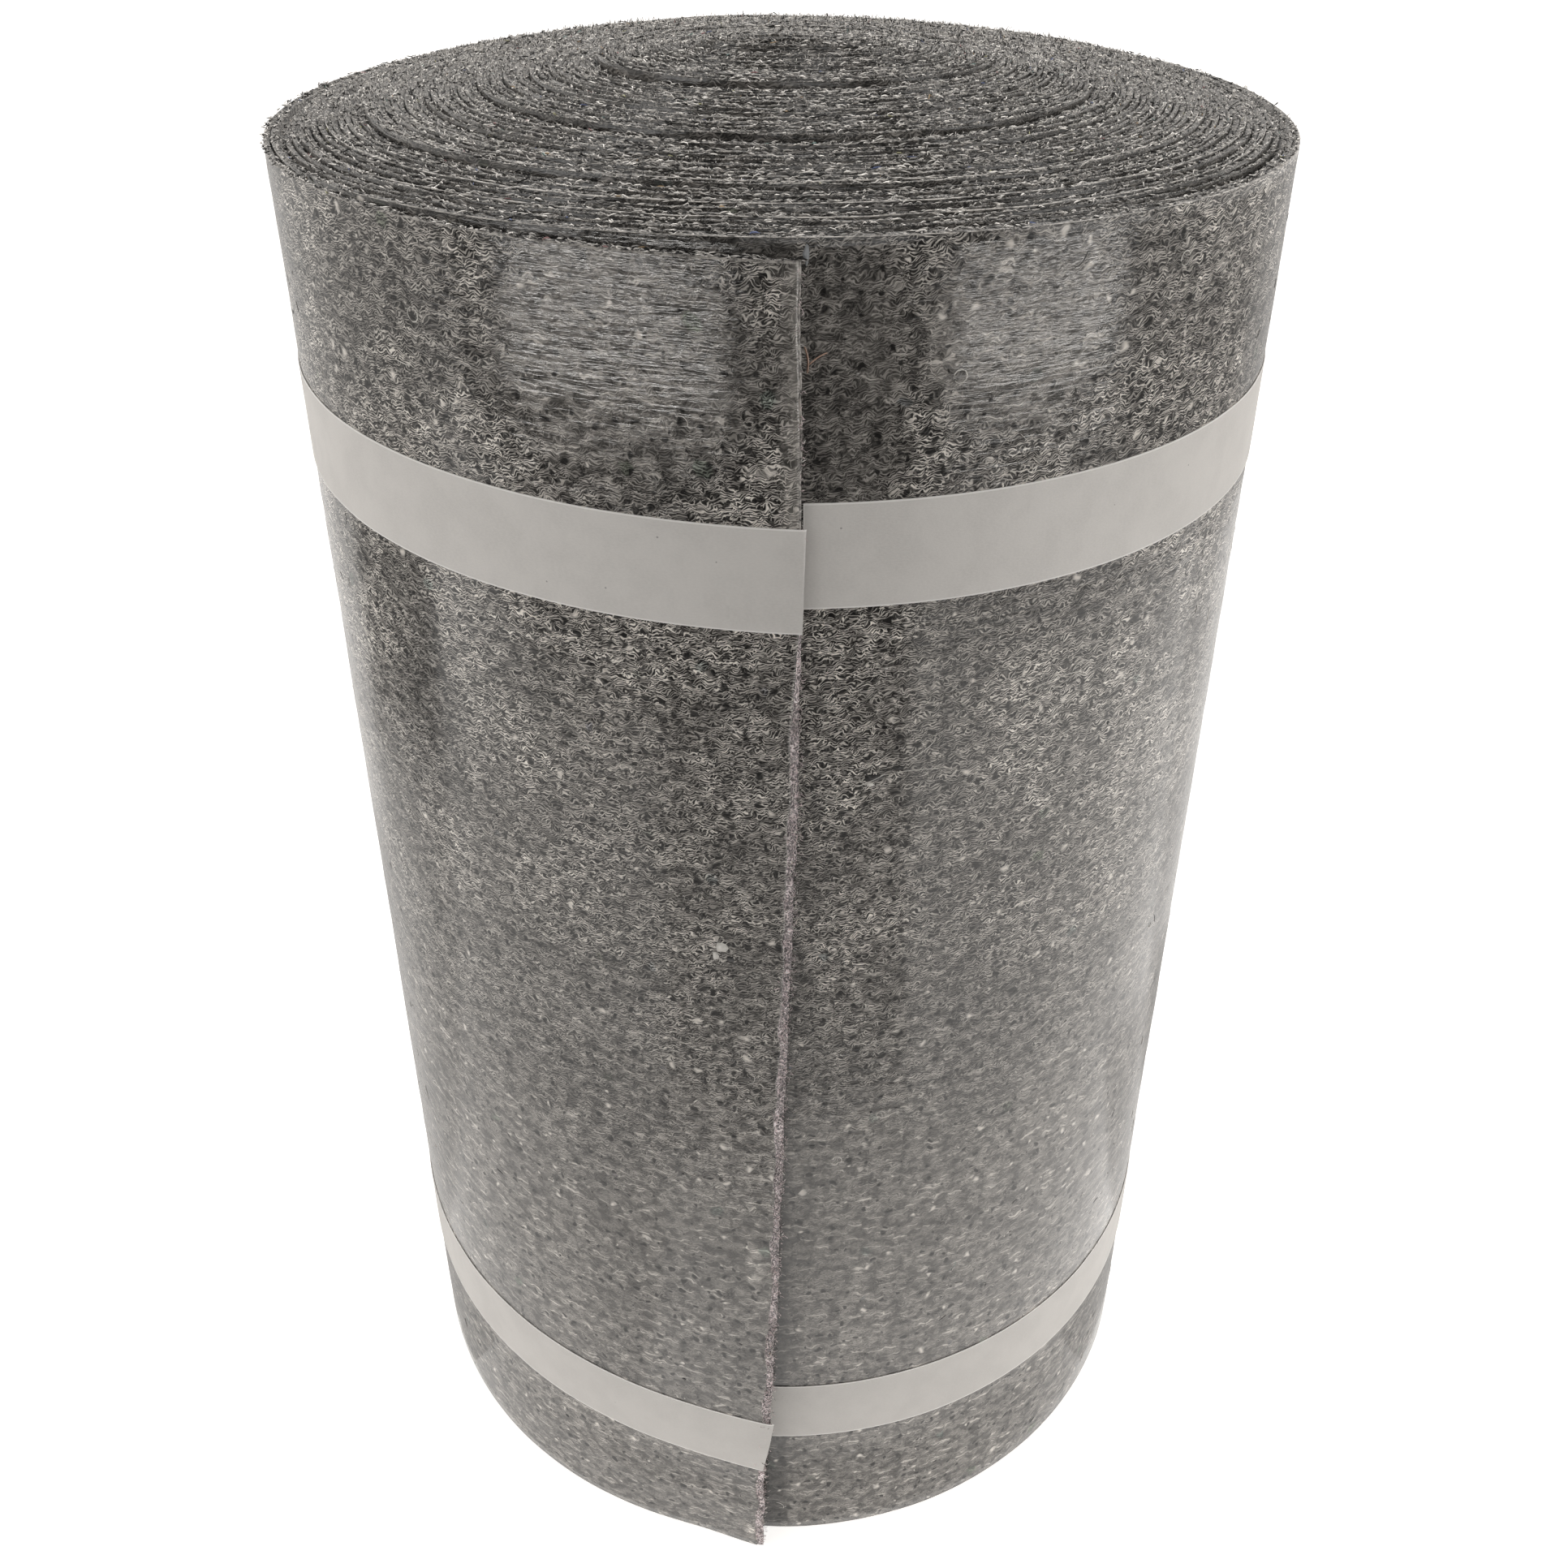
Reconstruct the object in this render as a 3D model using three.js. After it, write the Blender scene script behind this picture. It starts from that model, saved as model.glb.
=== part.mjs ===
// A roll of painters fleece that stands on one end: grey felt, faced outside with clear film and wound
// without a core, and two strips of tape under their paper liner, along both edges of the cloth.
// Millimetres, +Z up. The roll's axis is Z and its lower end lies at Z = 0.
// The front is -Y, where the cut end of the cloth comes from the left.

import * as THREE from 'three';
import { mergeVertices } from 'three/addons/utils/BufferGeometryUtils.js';

// The cloth and its winding.
const CLOTH_WIDTH = 650;
const TURN_PITCH = 2.5;
const PIECE_GAP = 0.3;
const FELT = TURN_PITCH - PIECE_GAP;
const OUTER_RADIUS = 199;

// Places around the roll are wraps: degrees from the front, the way the cloth winds inwards,
// which is to the left and round the back.
const FULL_TURN = 360;
const WRAP_STEP = 5;
const NEAR_EDGE_WRAPS = [3.6, 5, 7.5];
const LOOSE_WRAP = 200;
const STEP_WRAP = 0.1;

// The roll's two ends.
const RIM_DIP = 3.5;
const RIM_ROUND = 1.5;
const FOOT_BEVEL = 1;

// The top rises from the rim to the middle, in ledges where a group of turns stands proud of the next.
const TOP_RISE = [
  { radius: 196, rise: 0 },
  { radius: 162, rise: 5.5 },
  { radius: 73, rise: 17 },
  { radius: 15, rise: 22.5 },
];
const LEDGES = [
  { radius: 184, riser: 0.8 },
  { radius: 173, riser: 0.6 },
  { radius: 162, riser: 1.2 },
  { radius: 141, riser: 0.7 },
  { radius: 120, riser: 0.9 },
  { radius: 97, riser: 0.7 },
  { radius: 73, riser: 3.4 },
  { radius: 49, riser: 0.9 },
  { radius: 30, riser: 1.2 },
];
const RISER_LEAN = 0.8;
const RISER_UNEVEN = 0.4;
const RISER_HIGH_WRAP = 110;

// The inner turns are pressed to an oblong, a little to the right of the axis, around a short slot.
const PRESSED_RADIUS = 120;
const PRESSED_WIDER = 13;
const PRESSED_FLATTER = 0.56;
const PRESSED_POWER = 1.5;
const CORE_SHIFT = 4;
const SHIFTED_RADIUS = 84;
const SLOT_RADIUS = 15;
const SLOT_TAPER = 3;
const SLOT_DEPTH = 5;

// The loose end has slipped down, and its lower part buckles away from the roll.
const CUT_EDGE = [
  { height: 0, wrap: 2.35 },
  { height: 70, wrap: 2.1 },
  { height: 120, wrap: 1.2 },
  { height: 260, wrap: -0.05 },
  { height: 330, wrap: -0.55 },
  { height: 460, wrap: -1.65 },
  { height: 530, wrap: -1.8 },
  { height: 600, wrap: -1.75 },
  { height: 650, wrap: -1.5 },
];
const BUCKLE_PROFILE = [
  { height: 0, share: 0.12 },
  { height: 40, share: 0.7 },
  { height: 95, share: 1 },
  { height: 160, share: 0.88 },
  { height: 220, share: 0.66 },
  { height: 330, share: 0.3 },
  { height: 460, share: 0.1 },
  { height: 650, share: 0.03 },
];
const BUCKLE = 14.5;
const BUCKLE_WRAP = 24;
const CORNER_FLARE = 7.5;
const FLARE_WRAP = 8;
const FLARE_HEIGHT = 60;
const SLIP = 7.4;
const SLIP_WRAP = 60;
const SLIP_FREE_HEIGHT = 200;
const FOOT_ROWS = [0, 20, 45];
const MIDDLE_ROWS = [160, 220, 300, 400];
const TOP_MARGIN_EXTRA = 1.1;

// The strips of tape on the cloth.
const STRIP_THICKNESS = 1;
const STRIP_WIDTH = 38;
const LOWER_STRIP = { bottom: 77, past: 1.4, tail: 9 };
const UPPER_STRIP = { bottom: 528, past: 1.5, tail: -0.15 };

const MERGE_DISTANCE = 1e-4;
const radians = THREE.MathUtils.degToRad;

// Reads a table of rows, sorted by its first column, with straight lines between them.
function fromTable(table, key, value, at) {
  const ordered = [...table].sort((a, b) => a[key] - b[key]);
  if (at <= ordered[0][key]) {
    return ordered[0][value];
  }
  for (let i = 1; i < ordered.length; i += 1) {
    const low = ordered[i - 1];
    const high = ordered[i];
    if (at <= high[key]) {
      const share = (at - low[key]) / (high[key] - low[key]);
      return low[value] + share * (high[value] - low[value]);
    }
  }
  return ordered[ordered.length - 1][value];
}

function around(radius, wrap, height) {
  const angle = radians(wrap);
  return new THREE.Vector3(-radius * Math.sin(angle), -radius * Math.cos(angle), height);
}

// The radius of the cloth's outer face, which falls by one pitch in each turn.
function clothRadius(wrap) {
  return OUTER_RADIUS - (TURN_PITCH * wrap) / FULL_TURN;
}

function rimHeight(wrap) {
  return CLOTH_WIDTH - RIM_DIP * Math.sin(radians(wrap)) ** 2;
}

// Triangles to a closed mesh: equal corners are merged, and triangles that lose their area go.
function closedMesh(name, triangles, material) {
  const loose = new THREE.BufferGeometry().setFromPoints(triangles.flat());
  const merged = mergeVertices(loose, MERGE_DISTANCE);
  const index = merged.getIndex().array;
  const kept = [];
  for (let i = 0; i < index.length; i += 3) {
    const [a, b, c] = index.slice(i, i + 3);
    if (a !== b && b !== c && c !== a) {
      kept.push(a, b, c);
    }
  }
  merged.setIndex(kept);
  merged.computeVertexNormals();
  const mesh = new THREE.Mesh(merged, material);
  mesh.name = name;
  return mesh;
}

// The two triangles between rows k and k + 1 of two neighbouring columns.
function panel(left, right, k) {
  return [
    [left[k], right[k], right[k + 1]],
    [left[k], right[k + 1], left[k + 1]],
  ];
}

// The wound roll, whose loose end is a piece of its own.
function woundColumns() {
  const wraps = [];
  for (let wrap = 0; wrap < FULL_TURN; wrap += WRAP_STEP) {
    wraps.push({ wrap, covered: wrap <= LOOSE_WRAP });
    if (wrap === LOOSE_WRAP) {
      wraps.push({ wrap: wrap + STEP_WRAP, covered: false });
    }
  }
  return wraps;
}

function pressedPoint(radius, wrap, height) {
  const pressed = Math.max(0, 1 - radius / PRESSED_RADIUS);
  const long = radius + PRESSED_WIDER * pressed;
  const short = radius * (1 - PRESSED_FLATTER * pressed ** PRESSED_POWER);
  const shift = CORE_SHIFT * Math.min(1, pressed / (1 - SHIFTED_RADIUS / PRESSED_RADIUS));
  const angle = radians(wrap);
  return new THREE.Vector3(shift - long * Math.sin(angle), -short * Math.cos(angle), height);
}

function topHeight(radius, wrap) {
  const dip = Math.min(1, radius / OUTER_RADIUS) ** 2 * (CLOTH_WIDTH - rimHeight(wrap));
  return CLOTH_WIDTH - dip + fromTable(TOP_RISE, 'radius', 'rise', radius);
}

function ledgeRows(ledge, wrap) {
  const radius = ledge.radius - (TURN_PITCH * wrap) / FULL_TURN;
  const uneven = 1 - RISER_UNEVEN + RISER_UNEVEN * Math.cos(radians(wrap - RISER_HIGH_WRAP));
  const half = (ledge.riser * uneven) / 2;
  const foot = radius + RISER_LEAN / 2;
  const head = radius - RISER_LEAN / 2;
  return [
    pressedPoint(foot, wrap, topHeight(foot, wrap) - half),
    pressedPoint(head, wrap, topHeight(head, wrap) + half),
  ];
}

function woundProfile({ wrap, covered }) {
  const radius = clothRadius(wrap) - (covered ? TURN_PITCH : 0);
  const rim = rimHeight(wrap);
  const slotTop = topHeight(SLOT_RADIUS, wrap);
  return [
    around(radius - FOOT_BEVEL, wrap, 0),
    around(radius, wrap, FOOT_BEVEL),
    around(radius, wrap, rim - RIM_ROUND),
    around(radius - RIM_ROUND, wrap, rim),
    ...LEDGES.flatMap((ledge) => ledgeRows(ledge, wrap)),
    pressedPoint(SLOT_RADIUS, wrap, slotTop),
    pressedPoint(SLOT_RADIUS - SLOT_TAPER, wrap, slotTop - SLOT_DEPTH),
  ];
}

function makeWoundRoll(material) {
  const columns = woundColumns().map(woundProfile);
  const footCentre = new THREE.Vector3(0, 0, 0);
  const slotCentre = new THREE.Vector3(CORE_SHIFT, 0, topHeight(SLOT_RADIUS, 0) - SLOT_DEPTH);
  const triangles = [];
  columns.forEach((left, i) => {
    const right = columns[(i + 1) % columns.length];
    triangles.push([footCentre, right[0], left[0]].reverse());
    for (let k = 0; k + 1 < left.length; k += 1) {
      triangles.push(...panel(left, right, k).map((corners) => corners.reverse()));
    }
    const last = left.length - 1;
    triangles.push([slotCentre, left[last], right[last]].reverse());
  });
  return closedMesh('wound_roll', triangles, material);
}

// How far the loose end stands off the roll, and how far it has slipped down.
function standOff(wrap, height) {
  const share = fromTable(BUCKLE_PROFILE, 'height', 'share', height);
  const buckle = BUCKLE * share * Math.exp(-wrap / BUCKLE_WRAP);
  const flare = CORNER_FLARE * Math.exp(-((wrap / FLARE_WRAP) ** 2) - height / FLARE_HEIGHT);
  return (buckle + flare) * (1 - wrap / LOOSE_WRAP);
}

function slipDown(wrap, height) {
  const free = Math.min(1, height / SLIP_FREE_HEIGHT);
  return SLIP * free * (2 - free) * Math.exp(-wrap / SLIP_WRAP) * (1 - wrap / LOOSE_WRAP);
}

// A point above the cloth's outer face. Its height is the one that it had before the loose end slipped.
function onCloth(wrap, height, above) {
  const loose = wrap < LOOSE_WRAP;
  const radius = clothRadius(wrap) + (loose ? standOff(wrap, height) : 0) + above;
  return around(radius, wrap, height - (loose ? slipDown(wrap, height) : 0));
}

function cutEdgeWrap(height) {
  return fromTable(CUT_EDGE, 'height', 'wrap', height);
}

// A thin closed slab. columns(height) lists its wraps from one end to the other, at each of its rows.
function makeSlab(name, heights, columns, pointAt, low, high, material) {
  const face = (above) => heights.map((height, row) => {
    return columns(height).map((wrap) => pointAt(wrap, height, above, row));
  });
  const inner = face(low);
  const outer = face(high);
  const lastRow = heights.length - 1;
  const lastColumn = inner[0].length - 1;
  const triangles = [];
  const quad = (a, b, c, d) => triangles.push([a, b, c], [a, c, d]);
  for (let i = 0; i < lastRow; i += 1) {
    for (let j = 0; j < lastColumn; j += 1) {
      quad(outer[i][j + 1], outer[i][j], outer[i + 1][j], outer[i + 1][j + 1]);
      quad(inner[i][j], inner[i][j + 1], inner[i + 1][j + 1], inner[i + 1][j]);
    }
    quad(outer[i][0], inner[i][0], inner[i + 1][0], outer[i + 1][0]);
    quad(inner[i][lastColumn], outer[i][lastColumn], outer[i + 1][lastColumn], inner[i + 1][lastColumn]);
  }
  for (let j = 0; j < lastColumn; j += 1) {
    quad(inner[0][j + 1], inner[0][j], outer[0][j], outer[0][j + 1]);
    quad(inner[lastRow][j], inner[lastRow][j + 1], outer[lastRow][j + 1], outer[lastRow][j]);
  }
  return closedMesh(name, triangles, material);
}

// The shared columns of the loose end and of the strips on it.
function looseWraps() {
  const wraps = [...NEAR_EDGE_WRAPS];
  for (let wrap = 2 * WRAP_STEP; wrap < LOOSE_WRAP; wrap += WRAP_STEP) {
    wraps.push(wrap);
  }
  wraps.push(LOOSE_WRAP - STEP_WRAP);
  return wraps;
}

function stripHeights(strip) {
  return [strip.bottom, strip.bottom + STRIP_WIDTH / 2, strip.bottom + STRIP_WIDTH];
}

function makeLooseEnd(material) {
  const lower = [...FOOT_ROWS, ...stripHeights(LOWER_STRIP)];
  const heights = [...lower, ...MIDDLE_ROWS, ...stripHeights(UPPER_STRIP), CLOTH_WIDTH];
  const topRow = heights.length - 1;
  const pointAt = (wrap, height, above, row) => {
    const point = onCloth(wrap, height, above);
    if (row === topRow) {
      point.z += rimHeight(wrap) - CLOTH_WIDTH + TOP_MARGIN_EXTRA * (1 - wrap / LOOSE_WRAP);
    }
    return point;
  };
  const columns = (height) => [cutEdgeWrap(height), ...looseWraps()];
  return makeSlab('loose_end', heights, columns, pointAt, -FELT, 0, material);
}

// A strip starts a little past the cut edge, runs once round the roll and ends at or under that edge.
function makeStrip(name, strip, material) {
  const past = THREE.MathUtils.radToDeg(strip.past / OUTER_RADIUS);
  const fixed = [];
  for (let wrap = LOOSE_WRAP + WRAP_STEP; wrap < FULL_TURN; wrap += WRAP_STEP) {
    fixed.push(wrap);
  }
  const under = strip.tail > WRAP_STEP ? [FULL_TURN, FULL_TURN + WRAP_STEP] : [];
  const columns = (height) => {
    const edge = cutEdgeWrap(height);
    const end = strip.tail > 0 ? FULL_TURN + strip.tail : FULL_TURN + edge + strip.tail;
    return [edge - past, ...looseWraps(), LOOSE_WRAP + STEP_WRAP, ...fixed, ...under, end];
  };
  const low = PIECE_GAP;
  return makeSlab(name, stripHeights(strip), columns, onCloth, low, low + STRIP_THICKNESS, material);
}

function plainMaterial(name, color, roughness) {
  return new THREE.MeshStandardMaterial({ name, color, roughness, metalness: 0 });
}

const felt = plainMaterial('felt', 0x76736f, 0.95);
const filmedFelt = plainMaterial('filmed_felt', 0x6b6966, 0.35);
const liner = plainMaterial('liner_paper', 0xc8c5bf, 0.5);

const roll = new THREE.Group();
roll.add(makeWoundRoll(felt));
roll.add(makeLooseEnd(filmedFelt));
roll.add(makeStrip('upper_strip', UPPER_STRIP, liner));
roll.add(makeStrip('lower_strip', LOWER_STRIP, liner));

export default roll;
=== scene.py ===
# A roll of painters fleece that stands on one end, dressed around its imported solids: the cloth as it is
# wound and where it hangs loose, its cut edges turn by turn, the two strips of tape, and the loose fibres.
# Sizes are millimetres until a mesh is made. A wrap is the angle in degrees from the front, the way the
# cloth winds inwards: to the left and round the back. It runs on past 360 for the turns inside. A bearing is
# the angle from the front too, positive to the right.

import math

import bpy
import numpy as np
from mathutils import Matrix, Vector


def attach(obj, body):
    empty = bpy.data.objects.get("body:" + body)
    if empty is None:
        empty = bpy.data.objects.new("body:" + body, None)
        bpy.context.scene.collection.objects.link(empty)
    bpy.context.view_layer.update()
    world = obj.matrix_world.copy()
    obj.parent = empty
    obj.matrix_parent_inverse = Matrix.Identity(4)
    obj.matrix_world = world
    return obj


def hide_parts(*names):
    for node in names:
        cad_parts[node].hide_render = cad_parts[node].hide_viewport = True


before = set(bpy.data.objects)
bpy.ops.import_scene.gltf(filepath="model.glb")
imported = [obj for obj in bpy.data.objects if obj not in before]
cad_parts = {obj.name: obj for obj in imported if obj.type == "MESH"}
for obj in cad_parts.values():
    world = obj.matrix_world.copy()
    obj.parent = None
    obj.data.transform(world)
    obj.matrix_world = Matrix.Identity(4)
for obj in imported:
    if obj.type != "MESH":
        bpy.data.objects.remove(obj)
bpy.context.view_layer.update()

METRES = 0.001
BODY = "root"

# The cloth and its winding.
CLOTH_WIDTH = 650
TURN_PITCH = 2.5
FELT = 2.2
OUTER_RADIUS = 199
FULL_TURN = 360
LOOSE_WRAP = 200
RIM_DIP = 3.5
RISE_RADII = [15, 73, 162, 196]
RISES = [22.5, 17, 5.5, 0]

# Turns, counted from outside, at which a group of turns stands up from the one around it, and by how much.
LEDGE_TURNS = [2.5, 6.5, 10.5, 14.5, 23.5, 31.5, 40.5, 50.5, 60.5, 67.5]
LEDGE_RISERS = [0.9, 1.4, 1.1, 1.9, 1.3, 1.4, 1.2, 4.2, 1.5, 1.8]
LEDGE_CROSSING = 0.1
RISER_UNEVEN = 0.4
RISER_HIGH_WRAP = 110

# Turns that show a pale line of film, counted from outside, and how far they stand proud.
FILM_LINES = [5.5, 8.5, 15.5]
FILM_LINE_RISE = 0.5

# Unevenness of the turns' heights: the length of each wave along the cloth, its height and its lane of noise.
TURN_WAVES = [(380, 0.7, 3), (90, 0.35, 6), (14, 0.25, 9)]

# At both sides the turns next to the outermost ones have sunk: their count from outside, and how deep.
SUNK_TURNS = [1.6, 2.3, 3.2, 4.4]
SUNK_DEPTHS = [0, 3.2, 2.6, 0]

# The inner turns are pressed to an oblong, a little to the right of the axis, around a slot.
PRESSED_RADIUS = 120
PRESSED_WIDER = 13
PRESSED_FLATTER = 0.56
PRESSED_POWER = 1.5
CORE_SHIFT = 4
SHIFTED_RADIUS = 84
SLOT_RADII = [6, 11, 15]
SLOT_DROPS = [5.0, 4.2, 0]
INNERMOST_RADIUS = 6

# The loose end has slipped down, and its lower part buckles away from the roll. Its cut edge leans.
EDGE_HEIGHTS = [0, 70, 120, 260, 330, 460, 530, 600, 650]
EDGE_WRAPS = [2.35, 2.1, 1.2, -0.05, -0.55, -1.65, -1.8, -1.75, -1.5]
BUCKLE_HEIGHTS = [0, 40, 95, 160, 220, 330, 460, 650]
BUCKLE_SHARES = [0.12, 0.7, 1, 0.88, 0.66, 0.3, 0.1, 0.03]
BUCKLE = 14.5
BUCKLE_WRAP = 24
CORNER_FLARE = 7.5
FLARE_WRAP = 8
FLARE_HEIGHT = 60
SLIP = 7.4
SLIP_WRAP = 60
SLIP_FREE_HEIGHT = 200
TOP_MARGIN = 566
TOP_MARGIN_EXTRA = 1.1

# The film stops short of the cut in the felt. From a height on it nearly reaches the cut.
MARGIN_HEIGHTS = [0, 480, 530, 650]
MARGIN_WIDTHS = [3.5, 3.3, 0.9, 0.8]
FILM_TO_EDGE = 528

# Along the loose end's upper edge a narrow band of film is torn and pale.
TORN_FILM = 0.5

# The strips of tape. past is how far the lower and upper corner reach beyond the cut edge, and tail where the
# strip ends: in degrees past a whole turn or, if not positive, from the cut edge.
STRIP_WIDTH = 38
STRIP_THICKNESS = 0.35
STRIP_LIFT = 0.12
# pale scales the paper's colour: the lower strip's 0.86 is painted shade, darker than the same paper above.
LOWER_STRIP = {"bottom": 77, "past": (-0.9, 1.8), "tail": 9, "pale": 0.86}
UPPER_STRIP = {"bottom": 528, "past": (0.4, 1.6), "tail": -0.15, "pale": 1}

# Relief of the film: long shallow waves and short ones, each with its length, height and depth.
BROAD_WAVE = (120, 46, 0.34)
SHORT_WAVE = (22, 9, 0.22)

# How finely the pieces are cut up: columns, rows, and the longest steps along the cloth and round it.
WALL_COLUMNS = 289
WALL_ROWS = 145
NEAR_COLUMNS = 6
EDGE_STEP = 4
MOST_WRAP_STEP = 7
FOOT_STEP = 16

# The cut edge of a turn: distances in from its outer face to the film's lip and to three points on the felt.
# The groove between two inner turns: its least depth, and how much deeper it gets.
ACROSS = (0.12, 0.8, 1.5, 2.2)
GROOVE = (0.2, 1.8)

# The inner turns' edges are beads, this deep, that stand on a body inside the outermost turn. It is lower
# still around the slot, and its underside is clear of the floor.
SKIRT = 7
INSIDE_DROP = 4.5
SLOT_BODY_DROP = 5.5
SLOT_BODY_RADIUS = 20
INSIDE_RADII = (162, 73, 24, 17)
FOOT_CLEAR = 4

# A face's material, as its place in the list of its mesh.
FILM_FACE = 0
LIP_FACE = 1
CUT_FACE = 2
PINK_FACE = 3

# The felt's pattern is drawn out along the cloth, most at both sides: the mean rate and its swing.
STRETCH = (0.56, 0.12)

# Darker and lighter places of the film, painted shade and painted light in its colour: bearing and height,
# half width and height, and times as bright.
SHADE_AND_LIGHT_PATCHES = [
    (6, 600, 30, 80, 0.72),
    (-43, 462, 32, 60, 0.74),
    (-18, 480, 26, 36, 1.25),
    (-3.2, 216, 5, 25, 1.8),
    (-4, 14, 5, 9, 1.8),
]

# Gleams, a painted reflection haze: places where the felt's curls hardly show and its colour is lighter.
# Listed as bearing and height, half width and height, and a share.
GLEAMS = [(-15, 616, 66, 60, 1.0), (22, 618, 46, 52, 1.0), (6, 600, 30, 80, 0.6)]

# Stray fibres in the face of the cloth: bearing and height of the start, heading, length, curl, thickness and
# colour. Then neps and holes: bearing, height, half width, half height and colour. Others are scattered on
# the left and on the right of the cut edge, between two bearings.
LEFT_SIDE = (-170, 0)
RIGHT_SIDE = (3, 158)
THREAD_POINTS = 12
THREAD_LIFT = 0.02
WHITE = (0.72, 0.69, 0.64)
PALE = (0.45, 0.43, 0.4)
DARK = (0.012, 0.011, 0.01)
BLUISH = (0.28, 0.29, 0.3)
ORANGE = (0.62, 0.4, 0.3)
LEFT_THREADS = [
    (-36.5, 614, 80, 17, 400, 0.5, WHITE),
    (-31, 297, 5, 24, 12, 0.25, PALE),
    (-24, 470, -15, 26, 30, 0.3, PALE),
    (-9, 430, 40, 12, 220, 0.35, PALE),
]
RIGHT_THREADS = [
    (42, 630, 60, 16, 380, 0.5, WHITE),
    (17, 606, 120, 15, 390, 0.5, WHITE),
    (24, 477, 10, 34, 14, 0.55, WHITE),
    (26, 484, 14, 26, -20, 0.5, WHITE),
    (35, 486, 100, 12, 150, 0.5, WHITE),
    (27, 455, 25, 22, -15, 0.5, WHITE),
    (7.4, 455, 18, 12, 10, 0.35, WHITE),
    (11.2, 460, 4, 18, -12, 0.35, WHITE),
    (12.6, 464, 18, 14, 30, 0.3, WHITE),
    (2.1, 608, 75, 9, 40, 0.8, ORANGE),
    (2.2, 611, 50, 7, -30, 0.7, ORANGE),
]
LEFT_SPECKS = [(-6.5, 385, 2.2, 2.6, WHITE), (-5.6, 380, 1.6, 1.4, DARK), (-7.2, 381, 1.2, 1.8, WHITE)]
RIGHT_SPECKS = [
    (9.6, 459, 4.2, 1.6, DARK),
    (12.2, 462, 2.4, 1.1, DARK),
    (9.2, 456, 1.5, 1.0, WHITE),
    (1.95, 645, 1.0, 3.8, BLUISH),
]
SPECK_CORNERS = 8

# Dark tufts on the rim, at the left side and the back.
TUFT_BEARINGS = [-103, -98, 134, 148, 153, 171, 181]
TUFT_FIBRES = 16

# Between these radii the fibres that stand up on top get shorter towards the rim.
RIM_CALM = (172, 198)

rng = np.random.default_rng(4608)
LATTICE = 257


# Small maths.

def lattice():
    return rng.uniform(-1, 1, (LATTICE, LATTICE))


BROAD = lattice()
SHORT = lattice()
GRAIN = lattice()
TURNS = lattice()


def smooth_noise(values, x, y=0.0):
    """Random values from -1 to 1 at whole numbers, with smooth slopes between them."""
    x, y = np.broadcast_arrays(np.asarray(x, float), np.asarray(y, float))
    column = np.floor(x).astype(int)
    row = np.floor(y).astype(int)
    s = x - column
    t = y - row
    s = s * s * (3 - 2 * s)
    t = t * t * (3 - 2 * t)

    def level(row):
        here = values[column % LATTICE, row % LATTICE]
        after = values[(column + 1) % LATTICE, row % LATTICE]
        return here * (1 - s) + after * s

    return level(row) * (1 - t) + level(row + 1) * t


def unit(vectors):
    return vectors / np.maximum(np.linalg.norm(vectors, axis=-1, keepdims=True), 1e-9)


def around(radius, wrap, height):
    angle = np.radians(wrap)
    return np.stack(np.broadcast_arrays(-radius * np.sin(angle), -radius * np.cos(angle), height), axis=-1)


# The cloth's shape.

def cloth_radius(wrap):
    return OUTER_RADIUS - TURN_PITCH * np.asarray(wrap, float) / FULL_TURN


def cloth_length(wrap):
    """The length of cloth from the front to a wrap."""
    wrap = np.asarray(wrap, float)
    return math.radians(1) * (OUTER_RADIUS * wrap - TURN_PITCH * wrap**2 / (2 * FULL_TURN))


def film_along(bearing):
    """The length of cloth up to a place that is seen at a bearing from the front, positive to the right."""
    return float(cloth_length(-bearing if bearing < 0 else FULL_TURN - bearing))


def rim_height(wrap):
    return CLOTH_WIDTH - RIM_DIP * np.sin(np.radians(wrap)) ** 2


def looseness(wrap):
    return np.clip(1 - np.asarray(wrap, float) / LOOSE_WRAP, 0, 1.05)


def stand_off(wrap, height):
    share = np.interp(height, BUCKLE_HEIGHTS, BUCKLE_SHARES)
    buckle = BUCKLE * share * np.exp(-wrap / BUCKLE_WRAP)
    flare = CORNER_FLARE * np.exp(-((wrap / FLARE_WRAP) ** 2) - height / FLARE_HEIGHT)
    return (buckle + flare) * looseness(wrap)


def slip_down(wrap, height):
    free = np.clip(height / SLIP_FREE_HEIGHT, 0, 1)
    return SLIP * free * (2 - free) * np.exp(-wrap / SLIP_WRAP) * looseness(wrap)


def wander(wrap, length, lane, values=TURNS):
    """Smooth random values along the cloth, a length apart."""
    return smooth_noise(values, cloth_length(wrap) / length, lane)


def relief(wrap, height):
    """How far the film's waves stand proud. They fade out where the loose end covers them."""
    along = cloth_length(wrap)
    broad = smooth_noise(BROAD, along / BROAD_WAVE[0], height / BROAD_WAVE[1])
    short = smooth_noise(SHORT, along / SHORT_WAVE[0], height / SHORT_WAVE[1])
    shown = np.clip((FULL_TURN + 8 - np.asarray(wrap, float)) / 8, 0, 1)
    return shown * (BROAD_WAVE[2] * (0.5 + 0.5 * broad) + SHORT_WAVE[2] * (0.5 + 0.5 * short))


def on_cloth(wrap, height, above=0.0):
    """A point above the face of the outermost turn. Its height is the one from before the end slipped."""
    wrap = np.asarray(wrap, float)
    loose = wrap < LOOSE_WRAP
    radius = cloth_radius(wrap) + np.where(loose, stand_off(wrap, height), 0) + relief(wrap, height) + above
    at_top = np.clip((height - TOP_MARGIN) / (CLOTH_WIDTH - TOP_MARGIN), 0, None)
    extra = np.where(loose, TOP_MARGIN_EXTRA * looseness(wrap), 0)
    lowered = np.where(loose, slip_down(wrap, height), 0)
    return around(radius, wrap, height - lowered + at_top * (rim_height(wrap) - CLOTH_WIDTH + extra))


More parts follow.
